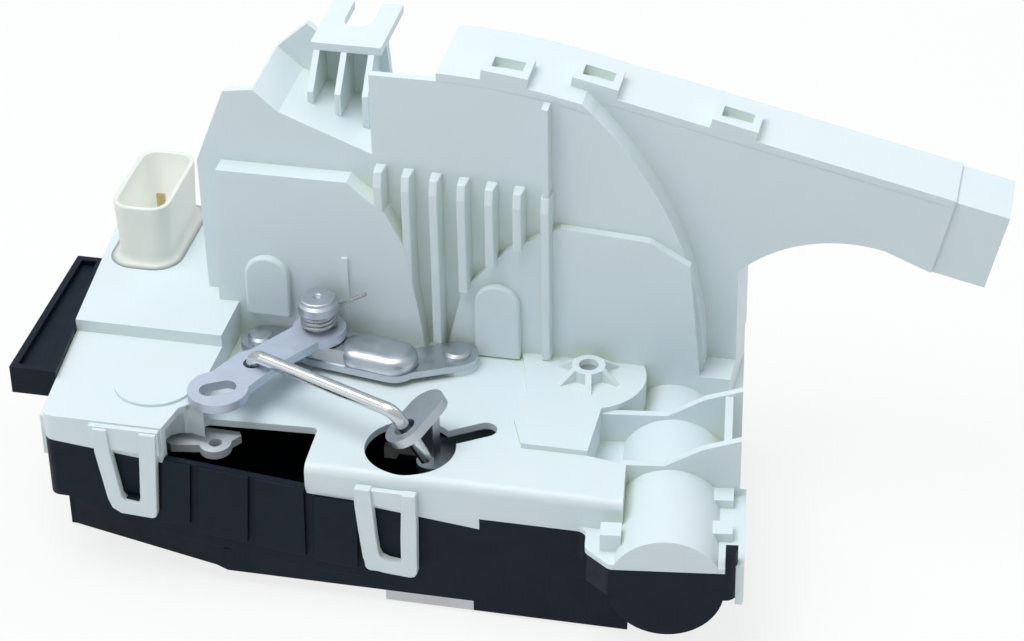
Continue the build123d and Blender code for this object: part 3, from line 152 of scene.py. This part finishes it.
# Inner release lever: ring, tip, hub on its pin, and neck; the sweeps are angles in degrees
INNER_LOW = 32.6
INNER_HIGH = 34.9
INNER_HUB = (-40.0, -18.0)
INNER_RING = (-16.6, -28.6)
INNER_RING_R = 4.1
INNER_HOLE_R = 1.7
INNER_HUB_R = 7.0
INNER_PIVOT_R = 4.2
INNER_RING_SWEEP = (205, 375)
INNER_HUB_SWEEP = (56, 251)
INNER_STEPS = 28
HOLE_SWEEP = (360, 10)
HOLE_STEPS = 24
INNER_TIP = [(-12.6, -27.0), (-10.9, -24.4), (-11.8, -22.9), (-21.0, -22.6)]
INNER_NECK = [(-31.5, -28.6), (-27.6, -31.6)]

# Pressed ridge of the lever bracket and the riveted head of its stud
RIDGE_LINE = ((13.9, 5.1), (23.0, 3.6))
RIDGE_R = 6.1
RIDGE_LOW = 43.0
RIDGE_RISE = 4.3
RIDGE_POWER = 4.0
RIDGE_TIP = 0.05
RIDGE_RINGS = 12
RIDGE_STEPS = 16
STUD_AT = (2.0, 7.0)
STUD_TOP = 58.05
STUD_PROFILE = [(4.66, 0.0), (4.62, 0.5), (4.5, 0.75), (4.25, 0.85), (1.3, 0.88), (1.1, 0.7), (0.8, 0.15),
                (0.2, 0.08)]
STUD_STEPS = 48

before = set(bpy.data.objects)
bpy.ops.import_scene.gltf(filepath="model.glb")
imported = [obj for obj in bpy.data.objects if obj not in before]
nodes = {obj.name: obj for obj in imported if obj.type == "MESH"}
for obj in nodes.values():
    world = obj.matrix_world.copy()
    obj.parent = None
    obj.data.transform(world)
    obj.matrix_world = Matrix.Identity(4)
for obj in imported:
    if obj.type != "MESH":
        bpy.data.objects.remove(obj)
cad_low, cad_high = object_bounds()


def new_material(name):
    """Empty node material with a surface shader."""
    material = bpy.data.materials.new(name)
    material.use_nodes = True
    tree = material.node_tree
    return material, tree, tree.nodes["Principled BSDF"]


def add(tree, kind, **values):
    """Node of a kind with its properties or sockets set."""
    node = tree.nodes.new("ShaderNode" + kind)
    for key, value in values.items():
        if hasattr(node, key):
            setattr(node, key, value)
        else:
            node.inputs[key.replace("_", " ").title()].default_value = value
    return node


def noise(tree, scale, detail=3.0, roughness=0.55):
    """Noise over the part's own coordinates; scale is in cells per metre."""
    place = add(tree, "TexCoord")
    cells = add(tree, "TexNoise", scale=scale, detail=detail, roughness=roughness)
    tree.links.new(place.outputs["Object"], cells.inputs["Vector"])
    return cells.outputs["Fac"]


def between(tree, factor, low, high, start=0.3, end=0.7):
    """Maps a factor onto a range of values."""
    span = add(tree, "MapRange")
    for socket, value in zip(span.inputs[1:5], (start, end, low, high)):
        socket.default_value = value
    tree.links.new(factor, span.inputs[0])
    return span.outputs[0]


def mixed(tree, factor, first, second):
    """Colour between two colours or sockets."""
    mix = tree.nodes.new("ShaderNodeMix")
    mix.data_type = "RGBA"
    tree.links.new(factor, mix.inputs["Factor"])
    for value, socket in ((first, mix.inputs[6]), (second, mix.inputs[7])):
        if isinstance(value, tuple):
            socket.default_value = (*value, 1)
        else:
            tree.links.new(value, socket)
    return mix.outputs[2]


def recess(tree, distance, inside=False):
    """How hidden a spot is, from 0 in the open to 1 in a corner."""
    shade = add(tree, "AmbientOcclusion", samples=8, inside=inside)
    shade.inputs["Distance"].default_value = distance
    return between(tree, shade.outputs["AO"], 1.0, 0.0, start=0.0, end=1.0)


def bump(tree, shader, height, strength, depth):
    """Fine relief on the surface."""
    relief = add(tree, "Bump")
    relief.inputs["Strength"].default_value = strength
    relief.inputs["Distance"].default_value = depth
    tree.links.new(height, relief.inputs["Height"])
    tree.links.new(relief.outputs["Normal"], shader.inputs["Normal"])


def moulded(name, clean, tinted, hollow, rough, glow=0.0):
    """Moulded plastic: slow colour drift, painted shade in corners, a fine sparked grain."""
    material, tree, shader = new_material(name)
    drift = between(tree, noise(tree, 28.0), 0.0, 1.0)
    colour = mixed(tree, drift, clean, tinted)
    # Painted shade: corners and gaps that the occlusion finds are tinted towards the hollow colour.
    hidden = between(tree, recess(tree, 0.007), 0.0, 0.75, start=0.3, end=0.95)
    tree.links.new(mixed(tree, hidden, colour, hollow), shader.inputs["Base Color"])
    gloss = between(tree, noise(tree, 160.0), rough - 0.06, rough + 0.08)
    tree.links.new(gloss, shader.inputs["Roughness"])
    bump(tree, shader, noise(tree, 2600.0, detail=2.0), 0.12, 0.00012)
    if glow:
        shader.inputs["Subsurface Weight"].default_value = glow
        shader.inputs["Subsurface Radius"].default_value = (1.0, 0.95, 0.75)
        shader.inputs["Subsurface Scale"].default_value = 0.003
    return material


def black_plastic(name, wear):
    """Dark glass filled plastic with a faint bloom, painted shade in grooves and, by its wear, paler
    edges.
    """
    material, tree, shader = new_material(name)
    bloom = between(tree, noise(tree, 60.0), 0.0, 1.0)
    colour = mixed(tree, bloom, (0.0035, 0.0090, 0.0180), (0.0055, 0.0120, 0.0230))
    edge = between(tree, recess(tree, 0.0009, inside=True), 0.0, wear, start=0.35, end=0.9)
    colour = mixed(tree, edge, colour, (0.030, 0.038, 0.050))
    # Painted shade: grooves and corners found by the occlusion are darkened towards near black.
    hidden = between(tree, recess(tree, 0.003), 0.0, 0.9, start=0.3, end=0.85)
    tree.links.new(mixed(tree, hidden, colour, (0.0008, 0.0012, 0.0024)), shader.inputs["Base Color"])
    shader.inputs["Specular IOR Level"].default_value = 0.15
    tree.links.new(between(tree, noise(tree, 220.0), 0.40, 0.56), shader.inputs["Roughness"])
    bump(tree, shader, noise(tree, 3200.0, detail=2.0), 0.2, 0.00012)
    return material


def plated_steel(name, bright, dull, rough, metal=1.0):
    """Zinc plated steel: cloudy plating, a faintly uneven skin, painted shade in the corners."""
    material, tree, shader = new_material(name)
    shader.inputs["Metallic"].default_value = metal
    cloud = between(tree, noise(tree, 90.0, detail=4.0), 0.0, 1.0)
    colour = mixed(tree, cloud, bright, dull)
    # Painted shade: corners found by the occlusion are darkened towards a brownish grey.
    hidden = between(tree, recess(tree, 0.0015), 0.0, 0.7, start=0.45, end=0.95)
    tree.links.new(mixed(tree, hidden, colour, (0.20, 0.19, 0.17)), shader.inputs["Base Color"])
    gloss = between(tree, noise(tree, 420.0), rough - 0.07, rough + 0.1)
    tree.links.new(gloss, shader.inputs["Roughness"])
    bump(tree, shader, noise(tree, 700.0, detail=2.0), 0.03, 0.00005)
    return material


def circuit_board(name):
    """Green solder mask with paler tracks."""
    material, tree, shader = new_material(name)
    place = add(tree, "TexCoord")
    tracks = add(tree, "TexBrick", scale=260.0)
    tree.links.new(place.outputs["Object"], tracks.inputs["Vector"])
    colour = mixed(tree, tracks.outputs["Fac"], (0.02, 0.12, 0.05), (0.05, 0.22, 0.09))
    tree.links.new(colour, shader.inputs["Base Color"])
    tree.links.new(between(tree, noise(tree, 300.0), 0.3, 0.45), shader.inputs["Roughness"])
    return material


WHITE = moulded("white_plastic", (0.700, 0.803, 0.848), (0.722, 0.812, 0.842), (0.74, 0.80, 0.68),
                rough=0.40, glow=0.08)
CREAM = moulded("cream_plastic", (0.785, 0.815, 0.775), (0.80, 0.82, 0.765), (0.74, 0.76, 0.64),
                rough=0.36, glow=0.12)
NATURAL = moulded("gear_plastic", (0.70, 0.69, 0.63), (0.74, 0.73, 0.67), (0.50, 0.48, 0.40), rough=0.35)
RUBBER = moulded("bumper_rubber", (0.02, 0.02, 0.02), (0.03, 0.03, 0.03), (0.01, 0.01, 0.01), rough=0.75)
BLACK = black_plastic("black_plastic", 0.5)
FRONT_BLACK = black_plastic("front_plastic", 0.0)
STEEL = plated_steel("lever_steel", (0.56, 0.60, 0.64), (0.49, 0.53, 0.57), 0.35)
PLATE = plated_steel("plate_steel", (0.54, 0.56, 0.58), (0.47, 0.49, 0.51), 0.38)
MATT = plated_steel("matt_steel", (0.56, 0.62, 0.74), (0.52, 0.58, 0.69), 0.46, 0.55)
# Painted light: a paler, less metallic copy of the lever steel for the inner lever, so that it looks lit
# where it sits in shade.
PAINTED_BRIGHT_STEEL = plated_steel("painted_bright_steel", (0.84, 0.90, 0.93), (0.78, 0.84, 0.88), 0.42, 0.12)
ROD = plated_steel("rod_steel", (0.64, 0.67, 0.69), (0.58, 0.61, 0.63), 0.22)
WIRE = plated_steel("spring_wire", (0.42, 0.43, 0.44), (0.35, 0.36, 0.37), 0.30)
BRASS = plated_steel("contacts", (0.70, 0.58, 0.32), (0.62, 0.50, 0.27), 0.30)
BOARD = circuit_board("board")

LOOKS = {
    WHITE: ["latch_cover", "actuator_housing", "rear_cover", "harness_connector"],
    CREAM: ["connector_socket"],
    NATURAL: ["worm", "worm_wheel", "lock_slider"],
    RUBBER: ["fork_bumper"],
    BLACK: ["latch_case", "edge_seal"],
    PLATE: ["face_plate", "motor"],
    ROD: ["connecting_rod"],
    WIRE: ["fork_spring", "pawl_spring", "lever_spring"],
    BRASS: ["harness_pins", "lead_frame", "connector_pins", "shaft_bearing"],
    BOARD: ["sensor_board"],
    STEEL: ["fork_bolt", "fork_pin", "pawl", "pawl_pin", "release_arm", "crank_shaft", "crank_lever",
            "lever_bracket", "pivot_stud", "bracket_rivets", "inner_lever_pin", "motor_shaft",
            "wheel_pin"],
    MATT: ["handle_lever"],
    PAINTED_BRIGHT_STEEL: ["inner_lever"],
}
ROUNDED = {WHITE: PLASTIC_EDGE, CREAM: PLASTIC_EDGE, BLACK: PLASTIC_EDGE, STEEL: STEEL_EDGE,
           PLATE: STEEL_EDGE, MATT: STEEL_EDGE, PAINTED_BRIGHT_STEEL: STEEL_EDGE}


def soften(piece, width):
    """Rounds the sharp edges of a piece."""
    edge = piece.modifiers.new("edge", "BEVEL")
    edge.width = width
    edge.segments = EDGE_SEGMENTS
    edge.limit_method = "ANGLE"
    edge.angle_limit = EDGE_ANGLE
    edge.harden_normals = True


def dress_nodes():
    """Gives each node of the frame its look, with rounded edges on moulded and pressed pieces."""
    for look, names in LOOKS.items():
        for name in names:
            piece = nodes[name]
            piece.data.materials.clear()
            piece.data.materials.append(look)
            if look in ROUNDED:
                soften(piece, ROUNDED[look])


def add_piece(name, mesh, look, body="housing"):
    """New piece from a mesh in millimetres that rides on a body."""
    bmesh.ops.remove_doubles(mesh, verts=mesh.verts, dist=WELD)
    bmesh.ops.scale(mesh, vec=(MM, MM, MM), verts=mesh.verts)
    bmesh.ops.recalc_face_normals(mesh, faces=mesh.faces)
    data = bpy.data.meshes.new(name)
    mesh.to_mesh(data)
    mesh.free()
    data.materials.append(look)
    piece = bpy.data.objects.new(name, data)
    bpy.context.scene.collection.objects.link(piece)
    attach(piece, body)
    return piece


def smooth(piece):
    """Shades the faces of a curved piece as one skin."""
    for face in piece.data.polygons:
        face.use_smooth = True


def bridge(mesh, rings):
    """Skin over a row of rings that have as many points each, closed at both ends."""
    rows = [[mesh.verts.new(point) for point in ring] for ring in rings]
    for low, high in zip(rows, rows[1:]):
        for i in range(len(low)):
            j = (i + 1) % len(low)
            mesh.faces.new((low[i], low[j], high[j], high[i]))
    mesh.faces.new(rows[0])
    mesh.faces.new(rows[-1])


def arc(centre, radius, start, end, steps):
    """Points along an arc, with the angles in degrees."""
    angles = [math.radians(start + (end - start) * i / steps) for i in range(steps + 1)]
    return [(centre[0] + radius * math.cos(a), centre[1] + radius * math.sin(a)) for a in angles]


def sheet(mesh, outlines, low, high, place):
    """Flat sheet with holes between two heights, laid into the frame by a function."""
    curve = bpy.data.curves.new("outline", "CURVE")
    curve.dimensions = "2D"
    curve.fill_mode = "BOTH"
    curve.extrude = (high - low) / 2
    for outline in outlines:
        line = curve.splines.new("POLY")
        line.points.add(len(outline) - 1)
        for point, (x, y) in zip(line.points, outline):
            point.co = (x, y, 0, 1)
        line.use_cyclic_u = True
    drawn = bpy.data.objects.new("outline", curve)
    flat = drawn.to_mesh()
    part = bmesh.new()
    part.from_mesh(flat)
    for vertex in part.verts:
        vertex.co = place(vertex.co.x, vertex.co.y, vertex.co.z + (high + low) / 2)
    laid = bpy.data.meshes.new("laid")
    part.to_mesh(laid)
    part.free()
    mesh.from_mesh(laid)
    bpy.data.meshes.remove(laid)
    bpy.data.objects.remove(drawn)
    bpy.data.curves.remove(curve)


def lying(x, y, z):
    """Place of a sheet that lies flat."""
    return Vector((x, y, z))


def on_front(x, y, z):
    """Place of a sheet that stands on the front wall and faces forward."""
    return Vector((x, FRONT - z, y))


def panel_edge(x):
    """Height of the right panel's upper edge on the tower."""
    for (x0, z0), (x1, z1) in zip(PANEL_EDGE, PANEL_EDGE[1:]):
        if x0 <= x <= x1:
            return z0 + (z1 - z0) * (x - x0) / (x1 - x0)
    return FIN_FOOT


def make_fins():
    """Stiffening fins with draft; the front of each top is cut off at a slope."""
    mesh = bmesh.new()
    for i in range(FIN_COUNT):
        x = FIN_FIRST + FIN_STEP * i
        low = RIB_FOOT if i == FIN_COUNT - 1 else panel_edge(x)
        top = FIN_TOP - FIN_FALL * i
        sides = []
        for side in (-1, 1):
            root, tip = x + side * FIN_ROOT / 2, x + side * FIN_TIP / 2
            sides.append([(root, FIN_BACK, low), (tip, FIN_FRONT, low), (tip, FIN_FRONT, top - FIN_SLOPE),
                          (tip, FIN_CREST, top), (root, FIN_BACK, top)])
        bridge(mesh, sides)
    soften(add_piece("tower_fins", mesh, WHITE), FIN_EDGE)


def make_pads():
    """Half round pads that stand out of the panels."""
    mesh = bmesh.new()
    for x, top, foot, face in PADS:
        outline = arc((x, top - PAD_R), PAD_R, 0, 180, PAD_STEPS)
        outline += [(x - PAD_R, foot), (x + PAD_R, foot)]
        rings = [[(px, y, pz) for px, pz in outline] for y in (face + PAD_ROOT, face - PAD_STAND)]
        bridge(mesh, rings)
    soften(add_piece("panel_pads", mesh, WHITE), PAD_EDGE)


def rounded_ring(width, length, radius, z):
    """Rounded rectangle round the plug's axis as a ring of points."""
    ring = []
    for turn, (side_x, side_y) in enumerate(((1, 1), (-1, 1), (-1, -1), (1, -1))):
        corner_x = SOCKET_AT[0] + side_x * (width / 2 - radius)
        corner_y = SOCKET_AT[1] + side_y * (length / 2 - radius)
        corner = arc((corner_x, corner_y), radius, 90 * turn, 90 * (turn + 1), CORNER_STEPS)
        ring += [(x, y, z) for x, y in corner]
    return ring


def make_socket():
    """Plug shroud: flared foot, slight draft, rounded rim and a hollow inside."""
    rim = SOCKET_HIGH - SOCKET_LOW
    mouth = SOCKET_DRAFT - SOCKET_WALL
    levels = list(SOCKET_FOOT)
    levels += [(SOCKET_DRAFT + out, rim + rise) for out, rise in SOCKET_RIM]
    levels += [(mouth + out, rim + rise) for out, rise in SOCKET_MOUTH]
    levels.append((-SOCKET_WALL - SOCKET_INNER_DRAFT, SOCKET_FLOOR))
    rings = [rounded_ring(SOCKET_W + 2 * out, SOCKET_L + 2 * out, SOCKET_CORNER + out, SOCKET_LOW + rise)
             for out, rise in levels]
    mesh = bmesh.new()
    bridge(mesh, rings)
    shroud = add_piece("socket_shroud", mesh, CREAM)
    for face in shroud.data.polygons:
        face.use_smooth = len(face.vertices) == 4
    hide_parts("connector_socket")


def make_block_wall():
    """Curved wall under the handle lever and the shelf that joins it to the left block."""
    mesh = bmesh.new()
    rear = [(x - WALL_T * WALL_LEAN, y + WALL_T) for x, y in reversed(WALL_LINE)]
    sheet(mesh, [WALL_LINE + rear], WALL_LOW, BLOCK_TOP, lying)
    sheet(mesh, [WALL_LINE + SHELF_BACK], BLOCK_TOP - WALL_T, BLOCK_TOP, lying)
    soften(add_piece("block_wall", mesh, WHITE), FIN_EDGE)


def make_clips():
    """Snap loops with the thick part of the wall that they hang from."""
    mesh = bmesh.new()
    for clip, wall in ((LEFT_CLIP, LEFT_CLIP_WALL), (RIGHT_CLIP, RIGHT_CLIP_WALL)):
        sheet(mesh, [clip], 0.0, CLIP_FACE, on_front)
        sheet(mesh, [wall], 0.0, CLIP_WALL_FACE, on_front)
    soften(add_piece("snap_loops", mesh, WHITE), FIN_EDGE)


def make_fields():
    """Raised fields on the black front wall with grooves between them."""
    mesh = bmesh.new()
    sheet(mesh, [FIELD_BASE], FIELD_ROOT, FIELD_SKIN, on_front)
    for field in FIELDS:
        sheet(mesh, [field], FIELD_ROOT, FIELD_FACE, on_front)
    soften(add_piece("front_fields", mesh, FRONT_BLACK), STEEL_EDGE)


def make_inner_lever():
    """Inner release lever with the small ring that the cable hooks into."""
    mesh = bmesh.new()
    ring = arc(INNER_RING, INNER_RING_R, *INNER_RING_SWEEP, INNER_STEPS)
    hub = arc(INNER_HUB, INNER_HUB_R, *INNER_HUB_SWEEP, INNER_STEPS)
    hole = arc(INNER_RING, INNER_HOLE_R, *HOLE_SWEEP, HOLE_STEPS)
    pivot = arc(INNER_HUB, INNER_PIVOT_R, *HOLE_SWEEP, HOLE_STEPS)
    sheet(mesh, [ring + INNER_TIP + hub + INNER_NECK, hole, pivot], INNER_LOW, INNER_HIGH, lying)
    lever = add_piece("inner_lever_plate", mesh, PAINTED_BRIGHT_STEEL, "inner_lever")
    soften(lever, STEEL_EDGE)
    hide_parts("inner_lever")


def make_ridge():
    """Pressed ridge of the bracket with rounded shoulders."""
    (x0, y0), (x1, y1) = RIDGE_LINE
    lean = math.degrees(math.atan2(y1 - y0, x1 - x0))
    rings = []
    for i in range(RIDGE_RINGS + 1):
        angle = math.radians(90) * i / RIDGE_RINGS
        share = math.cos(angle) ** (2 / RIDGE_POWER)
        z = RIDGE_LOW + RIDGE_RISE * math.sin(angle) ** (2 / RIDGE_POWER)
        radius = max(RIDGE_R * share, RIDGE_TIP)
        outline = arc((x1, y1), radius, lean - 90, lean + 90, RIDGE_STEPS)
        outline += arc((x0, y0), radius, lean + 90, lean + 270, RIDGE_STEPS)
        rings.append([(x, y, z) for x, y in outline])
    mesh = bmesh.new()
    bridge(mesh, rings)
    smooth(add_piece("bracket_ridge", mesh, STEEL))


def make_stud_face():
    """Riveted head of the stud with the mark of its centre."""
    rings = [[(x, y, STUD_TOP + rise) for x, y in arc(STUD_AT, radius, 0, 360, STUD_STEPS)[:-1]]
             for radius, rise in STUD_PROFILE]
    mesh = bmesh.new()
    bridge(mesh, rings)
    add_piece("stud_face", mesh, STEEL)


def white_backdrop(name):
    """Pale floor that turns white for the camera and keeps a soft shadow."""
    material, tree, shader = new_material(name)
    shader.inputs["Base Color"].default_value = FLOOR_COLOUR
    shader.inputs["Roughness"].default_value = FLOOR_ROUGH
    path = add(tree, "LightPath")
    seen = add(tree, "Math", operation="MAXIMUM")
    tree.links.new(path.outputs["Is Camera Ray"], seen.inputs[0])
    tree.links.new(path.outputs["Is Glossy Ray"], seen.inputs[1])
    share = add(tree, "Math", operation="MULTIPLY")
    share.inputs[1].default_value = FLOOR_WHITE
    tree.links.new(seen.outputs[0], share.inputs[0])
    white = add(tree, "Emission")
    blend = add(tree, "MixShader")
    tree.links.new(share.outputs[0], blend.inputs[0])
    tree.links.new(shader.outputs[0], blend.inputs[1])
    tree.links.new(white.outputs[0], blend.inputs[2])
    tree.links.new(blend.outputs[0], tree.nodes["Material Output"].inputs["Surface"])
    return material


def make_floor():
    """Plain pale floor just under the part."""
    bpy.ops.mesh.primitive_plane_add(size=FLOOR_SIZE, location=(0, 0, cad_low.z - FLOOR_DROP))
    floor = bpy.context.object
    floor.name = "floor"
    floor.data.materials.append(white_backdrop("pale_floor"))


def soft_light(name, place, aim, size, power):
    """Large square lamp that points at a spot."""
    lamp = bpy.data.lights.new(name, "AREA")
    lamp.size = size
    lamp.energy = power
    lamp_object = bpy.data.objects.new(name, lamp)
    lamp_object.location = place
    lamp_object.rotation_euler = (Vector(aim) - Vector(place)).to_track_quat("-Z", "Y").to_euler()
    bpy.context.scene.collection.objects.link(lamp_object)


def make_lamps():
    """Soft lamps that all point at the middle of the part."""
    centre = (cad_low + cad_high) / 2
    for name, place, size, power in LAMPS:
        soft_light(name, place, centre, size, power)


def make_sky():
    """Sky that brightens upwards; it is plain white to the camera and partly white in reflections."""
    world = bpy.data.worlds.new("studio")
    world.use_nodes = True
    bpy.context.scene.world = world
    tree = world.node_tree
    path = add(tree, "LightPath")
    place = add(tree, "TexCoord")
    split = add(tree, "SeparateXYZ")
    tree.links.new(place.outputs["Generated"], split.inputs["Vector"])
    rise = between(tree, split.outputs["Z"], SKY_LOW, SKY_HIGH, start=SKY_BOTTOM, end=SKY_TOP)
    plain = tree.nodes["Background"]
    plain.inputs["Color"].default_value = SKY_COLOUR
    tree.links.new(rise, plain.inputs["Strength"])
    white = add(tree, "Background")
    white.inputs["Color"].default_value = (1, 1, 1, 1)
    shown = add(tree, "Math", operation="MAXIMUM")
    tree.links.new(path.outputs["Is Camera Ray"], shown.inputs[0])
    tree.links.new(path.outputs["Is Transmission Ray"], shown.inputs[1])
    shiny = add(tree, "Math", operation="MULTIPLY")
    shiny.inputs[1].default_value = SKY_GLOSS
    tree.links.new(path.outputs["Is Glossy Ray"], shiny.inputs[0])
    share = add(tree, "Math", operation="MAXIMUM")
    tree.links.new(shown.outputs[0], share.inputs[0])
    tree.links.new(shiny.outputs[0], share.inputs[1])
    blend = add(tree, "MixShader")
    tree.links.new(share.outputs[0], blend.inputs[0])
    tree.links.new(plain.outputs[0], blend.inputs[1])
    tree.links.new(white.outputs[0], blend.inputs[2])
    tree.links.new(blend.outputs[0], tree.nodes["World Output"].inputs["Surface"])


def make_camera():
    """Camera turned by its azimuth and elevation, and then by its roll."""
    flat_right = Vector((math.cos(CAMERA_AZIMUTH), math.sin(CAMERA_AZIMUTH), 0))
    flat_back = Vector((math.sin(CAMERA_AZIMUTH), -math.cos(CAMERA_AZIMUTH), 0))
    back = math.cos(CAMERA_ELEVATION) * flat_back + Vector((0, 0, math.sin(CAMERA_ELEVATION)))
    flat_up = back.cross(flat_right)
    right = math.cos(CAMERA_ROLL) * flat_right - math.sin(CAMERA_ROLL) * flat_up
    up = math.sin(CAMERA_ROLL) * flat_right + math.cos(CAMERA_ROLL) * flat_up
    lens = bpy.data.cameras.new("camera")
    lens.lens = CAMERA_LENS
    lens.sensor_width = CAMERA_SENSOR
    camera = bpy.data.objects.new("camera", lens)
    camera.matrix_world = Matrix.Translation(CAMERA_AT) @ Matrix((right, up, back)).transposed().to_4x4()
    bpy.context.scene.collection.objects.link(camera)
    bpy.context.scene.camera = camera


dress_nodes()
make_fins()
make_pads()
make_socket()
make_block_wall()
make_clips()
make_fields()
make_inner_lever()
make_ridge()
make_stud_face()

make_floor()
make_lamps()
make_sky()
make_camera()
bpy.context.scene.view_settings.view_transform = "Standard"
